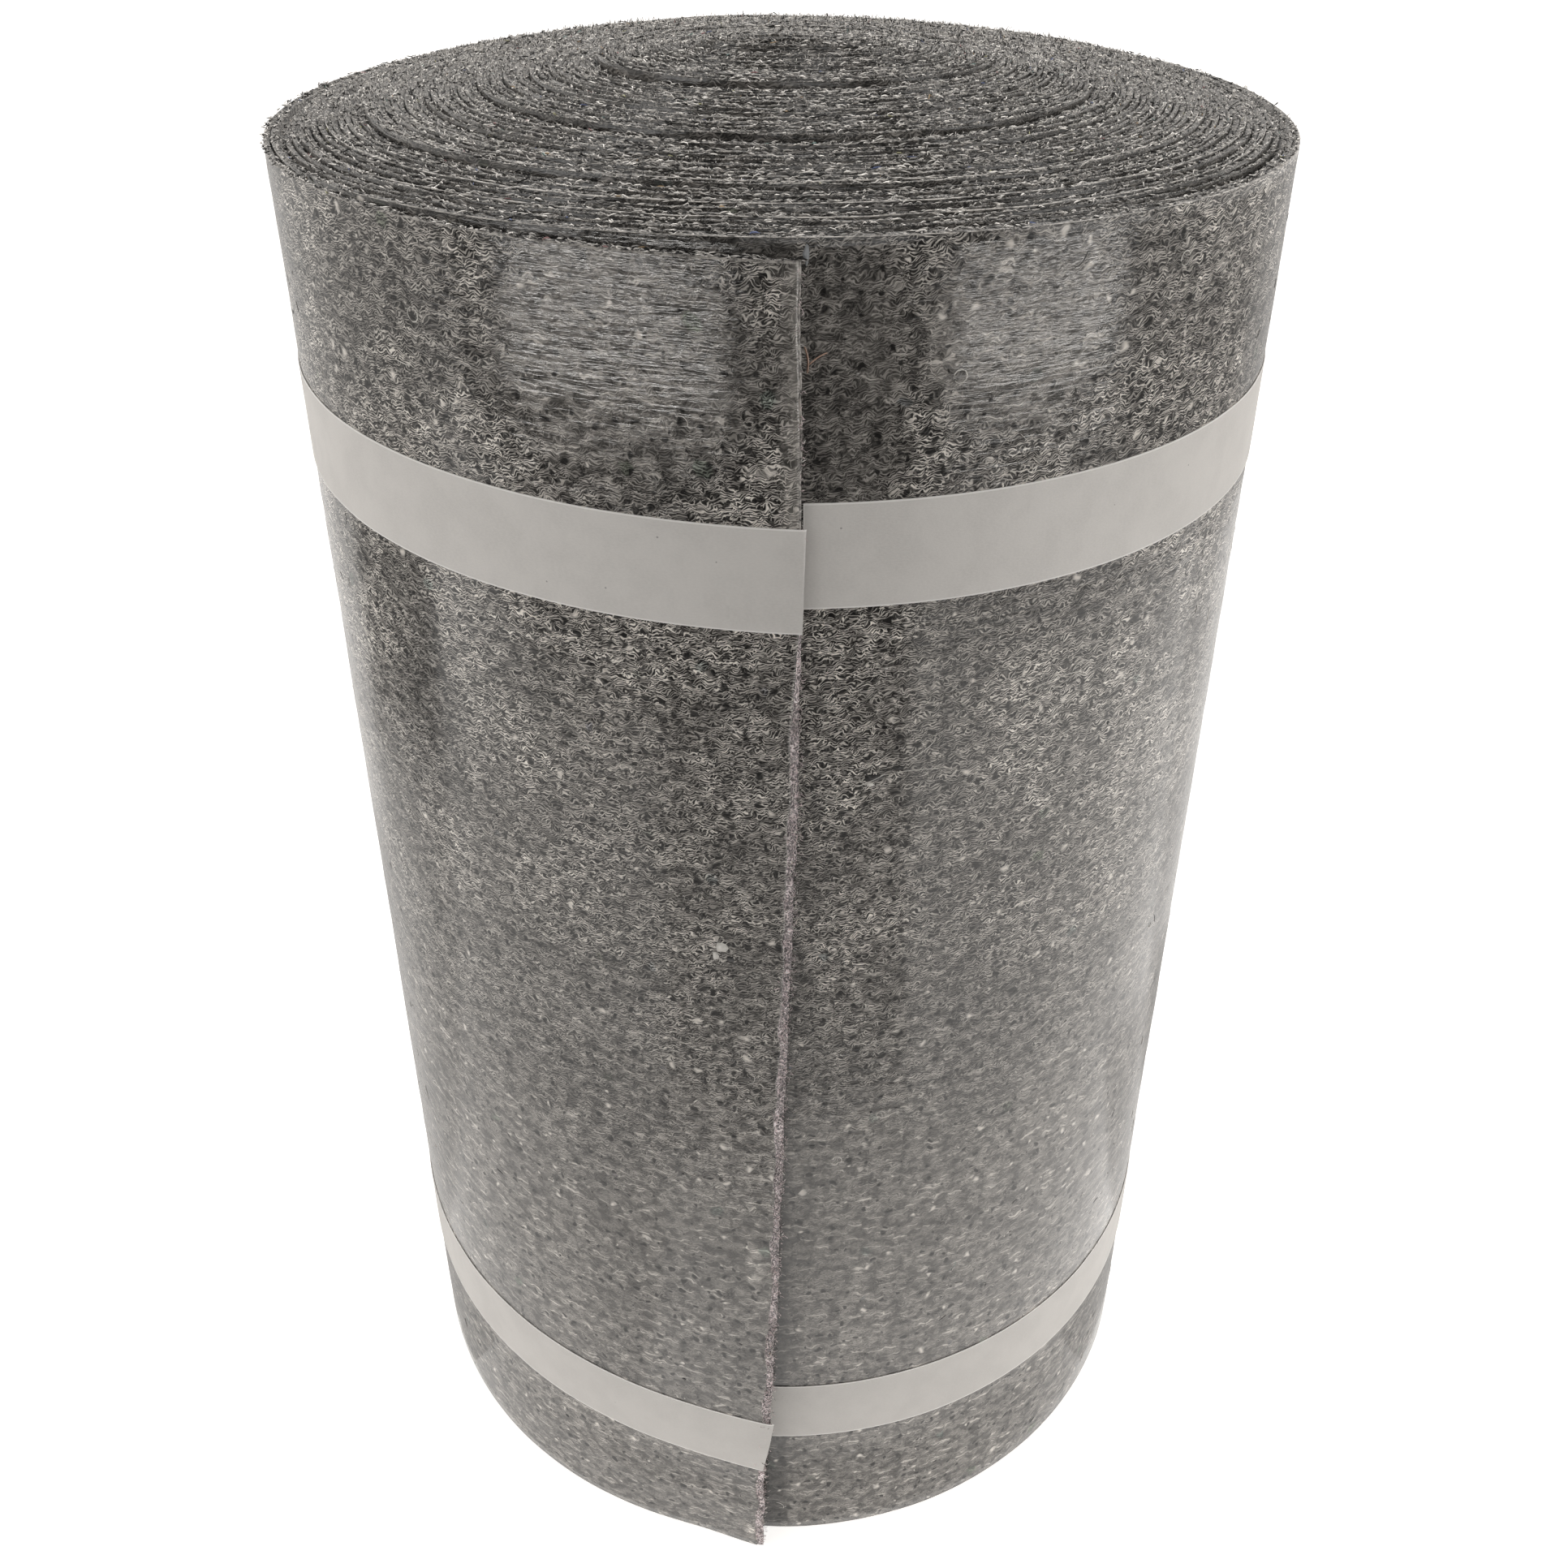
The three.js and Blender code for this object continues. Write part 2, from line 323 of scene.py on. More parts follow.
def pressed_point(radius, wrap, height):
    pressed = np.clip(1 - radius / PRESSED_RADIUS, 0, None)
    long = radius + PRESSED_WIDER * pressed
    short = radius * (1 - PRESSED_FLATTER * pressed**PRESSED_POWER)
    shift = CORE_SHIFT * np.minimum(1, pressed / (1 - SHIFTED_RADIUS / PRESSED_RADIUS))
    angle = np.radians(wrap)
    place = (shift - long * np.sin(angle), -short * np.cos(angle), height)
    return np.stack(np.broadcast_arrays(*place), axis=-1)


def cone_height(radius, wrap):
    dip = np.clip(radius / OUTER_RADIUS, 0, 1) ** 2 * (CLOTH_WIDTH - rim_height(wrap))
    return CLOTH_WIDTH - dip + np.interp(radius, RISE_RADII, RISES)


def ledge_offset(wrap):
    """The saw-tooth of the ledges along the cloth."""
    turn = np.asarray(wrap, float) / FULL_TURN
    places = [0.0]
    offsets = [0.0]
    for at, riser in zip(LEDGE_TURNS, LEDGE_RISERS):
        places += [at - LEDGE_CROSSING, at + LEDGE_CROSSING]
        offsets += [-riser / 2, riser / 2]
    uneven = 1 - RISER_UNEVEN + RISER_UNEVEN * np.cos(np.radians(wrap - RISER_HIGH_WRAP))
    return uneven * np.interp(turn, places + [turn.max() + 1], offsets + [0.0])


def film_shows(wrap):
    """Where a turn stands proud of the one around it, the edge of its film shows as a pale line."""
    turn = wrap / FULL_TURN
    return np.any([(turn > at) & (turn < at + 1) for at in FILM_LINES], axis=0)


def turn_height(wrap):
    """The height of a turn's cut edge on the top of the roll."""
    radius = cloth_radius(wrap) - FELT / 2
    own = sum(high * wander(wrap, long, lane) for long, high, lane in TURN_WAVES)
    own -= np.interp(wrap / FULL_TURN, SUNK_TURNS, SUNK_DEPTHS) * np.sin(np.radians(wrap)) ** 2
    own += FILM_LINE_RISE * film_shows(wrap)
    drop = np.interp(radius, SLOT_RADII, SLOT_DROPS)
    return cone_height(radius, wrap) + ledge_offset(wrap) + own - drop


# Makers of meshes.

def place_in_scene(name, data):
    piece = bpy.data.objects.new(name, data)
    bpy.context.scene.collection.objects.link(piece)
    return piece


def make_mesh(name, points, faces, kinds=None, cloth=None):
    """A smooth mesh from points in millimetres.

    kinds is each face's material, and cloth holds how far along and up the cloth each point is.
    """
    mesh = bpy.data.meshes.new(name)
    places = (np.asarray(points) * METRES).reshape(-1, 3)
    mesh.from_pydata(places.tolist(), [], [list(face) for face in faces])
    if kinds is not None:
        mesh.polygons.foreach_set("material_index", np.asarray(kinds, np.int32))
    mesh.polygons.foreach_set("use_smooth", np.ones(len(mesh.polygons), bool))
    if cloth is not None:
        corners = np.zeros(len(mesh.loops), np.int32)
        mesh.loops.foreach_get("vertex_index", corners)
        layer = mesh.uv_layers.new(name="cloth")
        flat = np.stack(np.broadcast_arrays(*cloth), -1).reshape(-1, 2) * METRES
        layer.uv.foreach_set("vector", flat[corners].astype(np.float32).ravel())
    mesh.update()
    return mesh


def make_piece(name, points, faces, materials, kinds=None, cloth=None):
    """A mesh as a piece of the roll's body."""
    mesh = make_mesh(name, points, faces, kinds, cloth)
    for material in materials:
        mesh.materials.append(material)
    piece = place_in_scene(name, mesh)
    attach(piece, BODY)
    return piece


def strip_faces(columns, rows, closed_section, closed_around=False):
    """Quads of a grid of columns by rows, with the column and row of each."""
    column = np.arange(columns if closed_around else columns - 1)
    row = np.arange(rows if closed_section else rows - 1)
    column, row = (part.ravel() for part in np.meshgrid(column, row, indexing="ij"))
    near = column * rows
    far = (column + 1) % columns * rows
    next_row = (row + 1) % rows
    return np.stack([near + row, far + row, far + next_row, near + next_row], axis=-1), column, row


def end_faces(columns, rows):
    """The two faces that close a bead at its first and last column."""
    last = (columns - 1) * rows
    return [list(range(rows))[::-1], [last + k for k in range(rows)]]


def repeated(faces, each, count):
    """The same triangles for a count of small forms, which have each so many points."""
    return (np.array(faces)[None] + each * np.arange(count)[:, None, None]).reshape(-1, 3)


def ribbon_tips(count, points):
    """The triangles of closed slender fibres, one after another: a tip, some three-sided rings and a tip."""
    rings = points - 2
    faces = []
    for k in range(3):
        after = (k + 1) % 3
        faces.append([0, 1 + after, 1 + k])
        for ring in range(rings - 1):
            low = 1 + 3 * ring
            faces.append([low + k, low + after, low + 3 + after])
            faces.append([low + k, low + 3 + after, low + 3 + k])
        last = 1 + 3 * (rings - 1)
        faces.append([last + k, last + after, 1 + 3 * rings])
    return repeated(faces, 3 * rings + 2, count)


def paint(piece, colours, repeats):
    """Gives each point the colour of the fibre or speck that it belongs to."""
    shade = piece.data.color_attributes.new(name="fibre", type="FLOAT_COLOR", domain="POINT")
    opaque = np.concatenate([colours, np.ones((len(colours), 1))], axis=1)
    shade.data.foreach_set("color", np.repeat(opaque, repeats, axis=0).astype(np.float32).ravel())


def make_fibres(name, lines, thickness, colours, material):
    """Closed slender fibres along lines of points, each of its own thickness and colour."""
    count, points, _ = lines.shape
    run = unit(np.gradient(lines, axis=1)[:, 1:-1])
    side = unit(np.cross(run, unit(rng.normal(size=(count, 1, 3)))))
    other = np.cross(run, side)
    turn = 2 * np.pi * np.arange(3) / 3
    ring = np.cos(turn)[:, None] * side[:, :, None] + np.sin(turn)[:, None] * other[:, :, None]
    ring = ring * thickness[:, None, None, None] / 2
    middle = (lines[:, 1:-1, None] + ring).reshape(count, -1, 3)
    points_of = np.concatenate([lines[:, :1], middle, lines[:, -1:]], axis=1)
    piece = make_piece(name, points_of, ribbon_tips(count, points), [material])
    paint(piece, colours, points_of.shape[1])
    return piece


# Materials.

class Nodes:
    """The nodes of a new material or a world. Each method adds nodes and gives their result."""

    def __init__(self, name, owner=None):
        self.owner = owner or bpy.data.materials.new(name)
        self.owner.use_nodes = True
        self.tree = self.owner.node_tree
        self.shader = self.tree.nodes.get("Principled BSDF")

    def put(self, socket, value):
        if isinstance(value, bpy.types.NodeSocket):
            self.tree.links.new(value, socket)
        else:
            socket.default_value = value

    def add(self, kind, inputs=None, **settings):
        node = self.tree.nodes.new(kind)
        for name, value in settings.items():
            setattr(node, name, value)
        for name, value in (inputs or {}).items():
            self.put(node.inputs[name], value)
        return node

    def math(self, operation, first, second=0.0, third=0.0):
        inputs = {0: first, 1: second, 2: third}
        return self.add("ShaderNodeMath", inputs, operation=operation).outputs[0]

    def times(self, first, second):
        return self.math("MULTIPLY", first, second)

    def most(self, first, second):
        return self.math("MAXIMUM", first, second)

    def vector(self, operation, first, second):
        inputs = {0: first, (3 if operation == "SCALE" else 1): second}
        return self.add("ShaderNodeVectorMath", inputs, operation=operation).outputs[0]

    def cloth(self):
        """The place on the cloth in millimetres: along it, and up it."""
        node = self.add("ShaderNodeUVMap", uv_map="cloth")
        return self.vector("SCALE", node.outputs[0], 1 / METRES)

    def place(self):
        node = self.add("ShaderNodeTexCoord")
        return self.vector("SCALE", node.outputs["Object"], 1 / METRES)

    def parts(self, at):
        """The three numbers of a place."""
        return self.add("ShaderNodeSeparateXYZ", {0: at}).outputs

    def turned(self, at, degrees):
        inputs = {"Vector": at, "Angle": math.radians(degrees)}
        return self.add("ShaderNodeVectorRotate", inputs, rotation_type="Z_AXIS").outputs[0]

    def drifted(self, at, scale, reach, flat=True):
        """The place moved about by a soft noise, up to half the reach to each side."""
        drift = self.noise(at, scale, 1.0, 0.5, flat, "Color")
        drift = self.vector("SCALE", self.vector("SUBTRACT", drift, (0.5, 0.5, 0.5)), reach)
        return self.vector("ADD", at, drift)

    def shifted(self, at, *by):
        return self.vector("ADD", at, (*by, 0.0))

    def noise(self, at, scale, detail=1.0, rough=0.5, flat=True, kind="Fac"):
        inputs = {"Vector": at, "Scale": scale, "Detail": detail, "Roughness": rough}
        return self.add("ShaderNodeTexNoise", inputs, noise_dimensions="2D" if flat else "3D").outputs[kind]

    def step(self, value, low, high, start=0.0, end=1.0):
        """start below low, end above high, and a smooth slope between."""
        inputs = {"Value": value, "From Min": low, "From Max": high, "To Min": start, "To Max": end}
        return self.add("ShaderNodeMapRange", inputs, interpolation_type="SMOOTHSTEP").outputs["Result"]

    def mix(self, share, first, second, blend="MIX"):
        inputs = {"Factor": share, 6: first, 7: second}
        return self.add("ShaderNodeMix", inputs, data_type="RGBA", blend_type=blend).outputs[2]

    def bump(self, height, distance):
        return self.add("ShaderNodeBump", {"Height": height, "Distance": distance * METRES}).outputs[0]

    def curls(self, at, spacing, curl, cover, flat=True):
        """Short curly strokes and the painted shade beside them, a spacing apart."""
        bend = self.noise(at, 0.4 / spacing, 1.0, 0.5, flat)
        phase = self.math("MULTIPLY_ADD", self.parts(at)[1], 1 / spacing, self.times(bend, curl))
        wave = self.math("SINE", self.times(phase, 2 * math.pi))
        gaps = self.noise(self.vector("ADD", at, (311.0, 77.0, 19.0)), 0.6 / spacing, 0.0, 0.5, flat)
        kept = self.step(gaps, cover, cover + 0.08)
        stroke = self.times(self.step(wave, 0.3, 0.9), kept)
        # Beside each stroke the colour darkens: painted shade of the fibre.
        fibre_shadow = self.times(self.step(wave, -0.9, -0.1, 1.0, 0.0), kept)
        return stroke, fibre_shadow

    def specks(self, at, scale, share, small, large, core=0.6):
        """Round specks in a share of the cells, soft outside their core, and each cell's own colour."""
        cells = self.add("ShaderNodeTexVoronoi", {"Vector": at, "Scale": scale}, voronoi_dimensions="2D")
        pick = self.add("ShaderNodeSeparateColor", {0: cells.outputs["Color"]}).outputs
        size = self.step(pick[1], 0.0, 1.0, small * scale, large * scale)
        inside = self.step(self.math("DIVIDE", cells.outputs["Distance"], size), core, 1.0, 1.0, 0.0)
        return self.times(inside, self.math("LESS_THAN", pick[0], share)), cells.outputs["Color"]

    def patch(self, at, centre, half):
        """1 at the middle of an ellipse and 0 from its outline on."""
        off = self.vector("SUBTRACT", at, (*centre, 0.0))
        off = self.vector("MULTIPLY", off, (1 / half[0], 1 / half[1], 0.0))
        length = self.add("ShaderNodeVectorMath", {0: off}, operation="LENGTH")
        return self.step(length.outputs["Value"], 0.3, 1.0, 1.0, 0.0)

    def finish(self, **inputs):
        for name, value in inputs.items():
            self.put(self.shader.inputs[name.replace("_", " ")], value)
        return self.owner


def grey(value, warm=0.072):
    return (value * (1 + warm), value, value * (1 - 1.2 * warm), 1.0)


def pink(value, warm=0.06):
    return (value * (1 + 2 * warm), value * (1 - 0.3 * warm), value * (1 - 0.3 * warm), 1.0)


def drawn_out(nodes, curly):
    """The place on which the felt's pattern is drawn out along the cloth, most at both sides of the roll."""
    along, up, _ = nodes.parts(curly)
    swing = nodes.math("SINE", nodes.times(along, 2 / OUTER_RADIUS))
    along = nodes.math("MULTIPLY_ADD", swing, STRETCH[1] * OUTER_RADIUS, nodes.times(along, STRETCH[0]))
    return nodes.add("ShaderNodeCombineXYZ", {0: along, 1: up}).outputs[0]


def crispness(nodes, cloth, curly, covered_in_shade):
    """How sharply the curls show: less in calm places; less low down and in the gleams, as painted reflection
    haze; less under the loose end, as painted shade.
    """
    # Low down the curls fade: a painted reflection haze.
    crisp = nodes.step(nodes.parts(cloth)[1], 220, 430, 0.12, 1.0)
    calm = nodes.step(nodes.noise(nodes.shifted(cloth, 90.0, 400.0), 0.02, 2.0, 0.5), 0.42, 0.6)
    crisp = nodes.times(crisp, nodes.step(calm, 0.0, 1.0, 1.0, 0.6))
    # The gleams fade the curls, and further on lighten the colour: painted reflection haze.
    gleam = 0.0
    for bearing, height, wide, tall, share in GLEAMS:
        inside = nodes.patch(curly, (film_along(bearing), height), (wide, tall))
        gleam = nodes.most(gleam, nodes.times(inside, share))
    crisp = nodes.times(crisp, nodes.step(gleam, 0.0, 0.8, 1.0, 0.2))
    return nodes.times(crisp, nodes.step(covered_in_shade, 0.0, 1.0, 1.0, 0.4))


def curly_felt(nodes, drawn, grain, crisp):
    """A fine grain with pale curls and their painted shade, as far as these show."""
    level, level_shadow = nodes.curls(drawn, 1.0, 2.0, 0.38)
    steep, steep_shadow = nodes.curls(nodes.turned(drawn, 35), 0.88, 2.2, 0.42)
    shade = nodes.mix(nodes.step(grain, 0.3, 0.72), grey(0.01), grey(0.19))
    shade = nodes.mix(nodes.step(crisp, 0.0, 0.6, 0.7, 0.0), shade, grey(0.1))
    # The curls' painted shade darkens the felt nearly to black.
    fibre_shadow = nodes.times(nodes.most(level_shadow, nodes.times(steep_shadow, 0.8)), crisp)
    shade = nodes.mix(nodes.times(fibre_shadow, 0.92), shade, grey(0.006))
    stroke = nodes.times(nodes.most(level, nodes.times(steep, 0.8)), crisp)
    return nodes.mix(nodes.times(stroke, 0.9), shade, grey(0.9))


def marked_felt(nodes, shade, curly, grain):
    """Adds dark pits and smudges, pale neps and a few tinted places."""
    pits, _ = nodes.specks(curly, 0.17, 0.45, 0.4, 1.9, 0.4)
    neps, _ = nodes.specks(nodes.shifted(curly, 7.0, 3.0), 0.1, 0.14, 0.5, 2.2, 0.1)
    smudges, _ = nodes.specks(nodes.shifted(curly, 19.0, 31.0), 0.06, 0.5, 1.2, 5.0, 0.1)
    tinted, tint = nodes.specks(nodes.shifted(curly, 41.0, 13.0), 0.045, 0.14, 1.2, 3.5)
    smudges = nodes.times(smudges, nodes.step(grain, 0.35, 0.6, 0.9, 0.2))
    shade = nodes.mix(nodes.most(smudges, nodes.times(pits, 0.92)), shade, grey(0.008))
    shade = nodes.mix(nodes.times(neps, 0.85), shade, grey(0.8))
    tint = nodes.mix(1.0, shade, nodes.mix(0.6, tint, grey(0.5)), "MULTIPLY")
    return nodes.mix(nodes.times(tinted, 0.35), shade, tint)


def felt_under_film():
    """Dark felt of short curly fibres behind clear film, which is drawn in fine wrinkles along the cloth."""
    nodes = Nodes("felt_under_film")
    cloth = nodes.cloth()
    along, up, _ = nodes.parts(cloth)
    curly = nodes.drifted(cloth, 0.2, 4.0)
    drawn = drawn_out(nodes, curly)
    grain = nodes.noise(drawn, 1.2, 2.0, 0.75)
    blotches = nodes.noise(drawn, 0.22, 2.0, 0.6)
    # Marks the cloth under the loose end and the inner turns' film, which get painted shade: darker, with
    # fainter curls.
    covered_in_shade = nodes.step(along, float(cloth_length(358)), float(cloth_length(FULL_TURN)))
    crisp = crispness(nodes, cloth, curly, covered_in_shade)

    shade = curly_felt(nodes, drawn, grain, crisp)
    threads = nodes.noise(nodes.vector("MULTIPLY", curly, (0.06, 0.9, 1.0)), 1.0, 1.0, 0.5)
    threads = nodes.times(nodes.step(threads, 0.62, 0.7), nodes.step(blotches, 0.4, 0.6))
    shade = nodes.mix(nodes.times(threads, 0.35), shade, grey(0.6))
    dim = nodes.step(blotches, 0.3, 0.65, 0.5, 1.25)
    lighter = nodes.step(nodes.noise(cloth, 0.022, 3.0, 0.55), 0.3, 0.7, 0.76, 0.98)
    # Where the curls fade the colour is lightened, which carries the painted reflection haze low down and in
    # the gleams.
    lighter = nodes.times(lighter, nodes.step(crisp, 0.0, 0.55, 1.8, 1.04))
    # Under the loose end and on the inner turns' film the colour is darkened: painted shade.
    lighter = nodes.times(lighter, nodes.step(covered_in_shade, 0.0, 1.0, 1.0, 0.45))
    shade = nodes.mix(1.0, shade, nodes.times(dim, lighter), "MULTIPLY")
    shade = marked_felt(nodes, shade, curly, grain)
    # Painted shade and light: the film's colour is darkened or lightened in each patch.
    for bearing, height, wide, tall, times in SHADE_AND_LIGHT_PATCHES:
        inside = nodes.patch(curly, (film_along(bearing), height), (wide, tall))
        shade = nodes.mix(1.0, shade, nodes.step(inside, 0.0, 1.0, 1.0, times), "MULTIPLY")

    at_edge = nodes.times(nodes.step(along, -5, 4, 1.0, 0.0), nodes.step(up, 520, 540))
    at_edge = nodes.times(at_edge, nodes.step(blotches, 0.3, 0.6, 0.2, 0.6))
    shade = nodes.mix(at_edge, shade, grey(0.34))
    streaks = nodes.noise(nodes.vector("MULTIPLY", cloth, (0.05, 0.4, 1.0)), 1.0, 3.0, 0.6)
    raised = nodes.times(streaks, nodes.step(up, 590, 635, 0.15, 0.45))
    rough = nodes.step(blotches, 0.3, 0.7, 0.13, 0.22)
    return nodes.finish(Base_Color=shade, Roughness=rough, Normal=nodes.bump(raised, 1.0), IOR=1.5)


def cut_felt(name, dark, light, tone=grey, spacing=1.2):
    """Felt where it was cut: rough, with pale curly fibres over painted shade between them."""
    nodes = Nodes(name)
    place = nodes.place()
    curly = nodes.drifted(place, 0.25, 5.0, False)
    level, level_shadow = nodes.curls(curly, spacing, 2.4, 0.4, False)
    steep, steep_shadow = nodes.curls(nodes.turned(curly, 70), 1.15 * spacing, 2.4, 0.42, False)
    grain = nodes.noise(place, 1.3 / spacing, 2.0, 0.7, False)
    blotches = nodes.noise(place, 0.12, 2.0, 0.6, False)
    shade = nodes.mix(nodes.step(grain, 0.3, 0.7), tone(1.5 * dark), tone(0.5 * (dark + light)))
    # Between the fibres the colour darkens: painted shade.
    fibre_shadow = nodes.most(level_shadow, steep_shadow)
    shade = nodes.mix(nodes.times(fibre_shadow, 0.75), shade, tone(0.5 * dark))
    stroke = nodes.most(level, nodes.times(steep, 0.8))
    shade = nodes.mix(nodes.times(stroke, 0.85), shade, tone(1.4 * light))
    shade = nodes.mix(1.0, shade, nodes.step(blotches, 0.3, 0.7, 0.75, 1.25), "MULTIPLY")
    nodes.finish(Base_Color=shade, Roughness=0.95, Normal=nodes.bump(grain, 0.5))
    return nodes.finish(Specular_IOR_Level=0.15, Sheen_Weight=0.25, Sheen_Roughness=0.6)


def film_lip():
    """The edge of the film, frayed and pale in places."""
    nodes = Nodes("film_lip")
    place = nodes.place()
    frayed = nodes.step(nodes.noise(place, 0.3, 3.0, 0.75, False), 0.35, 0.6)
    shade = nodes.mix(frayed, grey(0.1), grey(0.45))
    return nodes.finish(Base_Color=shade, Roughness=0.4)


def liner_paper(name, bottom, pale):
    """Smooth warm paper with a faint mottle, a few flecks and a painted highlight along both of its cut
    edges.
    """
    nodes = Nodes(name)
    cloth = nodes.cloth()
    clouds = nodes.noise(cloth, 0.05, 3.0, 0.6)
    grain = nodes.noise(nodes.vector("MULTIPLY", cloth, (1.0, 2.2, 1.0)), 0.8, 2.0, 0.6)
    flecks, _ = nodes.specks(cloth, 0.05, 0.18, 0.1, 0.45)
    shade = nodes.mix(nodes.step(clouds, 0.3, 0.7), grey(0.585 * pale, 0.045), grey(0.635 * pale, 0.045))
    shade = nodes.mix(nodes.step(grain, 0.25, 0.75, 0.0, 0.35), shade, grey(0.7 * pale, 0.045))
    shade = nodes.mix(nodes.times(flecks, 0.6), shade, grey(0.12))
    # Along each cut edge the paper is lightened: a painted highlight.
    off = nodes.math("ABSOLUTE", nodes.math("SUBTRACT", nodes.parts(cloth)[1], bottom + STRIP_WIDTH / 2))
    edge_highlight = nodes.step(off, STRIP_WIDTH / 2 - 0.7, STRIP_WIDTH / 2 - 0.4, 0.0, 0.9)
    shade = nodes.mix(edge_highlight, shade, grey(0.85, 0.03))
    return nodes.finish(Base_Color=shade, Roughness=0.55, Normal=nodes.bump(grain, 0.06))


def loose_fibre(name, rough, gloss):
    nodes = Nodes(name)
    shade = nodes.add("ShaderNodeAttribute", attribute_name="fibre").outputs["Color"]
    return nodes.finish(Base_Color=shade, Roughness=rough, Specular_IOR_Level=gloss)


FILM = felt_under_film()
CUT = cut_felt("cut_felt", 0.015, 0.24)
PINKISH = cut_felt("cut_felt_pale", 0.15, 0.75, pink, 0.9)
LIP = film_lip()
FIBRE = loose_fibre("loose_fibre", 0.8, 0.3)
FILMED_FIBRE = loose_fibre("filmed_fibre", 0.3, 0.5)


# The wound roll.

def crown_heights(wrap):
    """Heights of the film's lip and of three points across the felt, above a turn's own height."""
    lip = 0.1 + 0.2 * wander(wrap, 55, 1, GRAIN)
    rough = []
    for k in (1, 2, 3):
        rough.append(0.3 * wander(wrap, 9, 20 * k, GRAIN) + rng.uniform(-0.28, 0.28, np.shape(wrap)))
    return lip, rough


def make_wall():
    """The outermost whole turn of the roll, and a body inside it on which the inner turns stand."""
    wrap = np.linspace(LOOSE_WRAP, LOOSE_WRAP + FULL_TURN, WALL_COLUMNS)
    share = np.linspace(0, 1, WALL_ROWS)[None]
    lip, rough = crown_heights(wrap)
    height = 1 + (CLOTH_WIDTH - 1.15) * share
    face = on_cloth(wrap[:, None], height)
    outer = cloth_radius(wrap)
    inner = outer - FELT
    top = rim_height(wrap) + 0.25 * wander(wrap, 80, 5)
    floor_height = FOOT_CLEAR * np.ones_like(wrap)
    centre = np.zeros_like(wrap)
    inside = cone_height(inner, wrap) - INSIDE_DROP
    section = [
        around(centre, wrap, floor_height),
        around(inner, wrap, floor_height),
        around(inner, wrap, centre + 0.3),
        around(outer - 1.4, wrap, centre),
        around(outer - 0.6, wrap, centre),
    ]
    first_row = len(section)
    section += [face[:, k] for k in range(WALL_ROWS)]
    section += [around(outer - ACROSS[0], wrap, top + lip)]
    section += [around(outer - a, wrap, top + 0.1 + r) for a, r in zip(ACROSS[1:], rough)]
    section += [around(inner, wrap, inside)]
    for radius in INSIDE_RADII:
        drop = INSIDE_DROP + (SLOT_BODY_DROP if radius < SLOT_BODY_RADIUS else 0)
        section += [pressed_point(radius + 0 * wrap, wrap, cone_height(radius, wrap) - drop)]
    section += [pressed_point(centre, wrap * 0, cone_height(0, 0) - INSIDE_DROP - SLOT_BODY_DROP)]
    points = np.stack(section, axis=1)
    lip_row = first_row + WALL_ROWS - 1
    faces, column, row = strip_faces(*points.shape[:2], False, True)
    kinds = np.where((row >= first_row - 1) & (row < lip_row), FILM_FACE, CUT_FACE)
    kinds[row == lip_row] = LIP_FACE
    cloth = (cloth_length(wrap)[:, None], points[..., 2])
    piece = make_piece("wound_wall", points, faces, [FILM, LIP, CUT], kinds, cloth)
    return piece, points[:, lip_row + 1:lip_row + 4], wrap


def spiral_wraps(step):
    """Wraps along the inner turns, a step of arc apart and closer on the tight turns at the middle."""
    wraps = [float(LOOSE_WRAP + FULL_TURN)]
    while cloth_radius(wraps[-1]) > INNERMOST_RADIUS + FELT:
        wraps.append(wraps[-1] + min(MOST_WRAP_STEP, math.degrees(step / cloth_radius(wraps[-1]))))
    return np.array(wraps)


def make_turn_edges():
    """The upper edges of all inner turns, as one long bead along the spiral of the cloth."""
    wrap = spiral_wraps(EDGE_STEP)
    lip, rough = crown_heights(wrap)
    top = turn_height(wrap)
    radius = cloth_radius(wrap)
    across = [0, 0, ACROSS[0] + 0.1, ACROSS[1], ACROSS[2], FELT, FELT]
    sunk = np.clip(wander(wrap, 420, 12) + 0.15, 0, 1)
    groove = GROOVE[0] + GROOVE[1] * sunk
    heights = [top - SKIRT, top + 0.05, top + 0.3 + 0.5 * lip, top + rough[0], top + rough[1]]
    heights += [top - groove + rough[2], top - SKIRT]
    section = [pressed_point(radius - a, wrap, h) for a, h in zip(across, heights)]
    points = np.stack(section, axis=1)
    faces, column, row = strip_faces(*points.shape[:2], True)
    lipped = (row == 1) & film_shows(wrap)[column]
    kinds = np.select([row == 0, lipped], [FILM_FACE, LIP_FACE], CUT_FACE)
    kinds = kinds.tolist() + [CUT_FACE, CUT_FACE]
    faces = faces.tolist() + end_faces(*points.shape[:2])
    cloth = (cloth_length(wrap)[:, None], CLOTH_WIDTH + points[..., 2] - top[:, None])
    piece = make_piece("turn_edges", points, faces, [FILM, LIP, CUT], kinds, cloth)
    return piece, points[:, 2:6], wrap


def make_foot_edges():
    """The lower edges of all inner turns, pressed level by the roll's weight."""
    wrap = spiral_wraps(FOOT_STEP)
    radius = cloth_radius(wrap)
    level = 0.25 + 0.25 * wander(wrap, 40, 31)
    above = FOOT_CLEAR + 2 + 0 * wrap
    across = [0, 0.3, 1.9, FELT]
    heights = [above, level, level * 0.4, above]
    points = np.stack([pressed_point(radius - a, wrap, h) for a, h in zip(across, heights)], axis=1)
    faces = strip_faces(*points.shape[:2], True)[0].tolist() + end_faces(*points.shape[:2])
    return make_piece("foot_edges", points, faces, [CUT])


# The loose end and the strips.

def edge_wrap(height):
    ragged = 0.3 * smooth_noise(GRAIN, height / 3.3, 61) + 0.35 * smooth_noise(GRAIN, height / 21, 67)
    return np.interp(height, EDGE_HEIGHTS, EDGE_WRAPS) + np.degrees(ragged / OUTER_RADIUS)


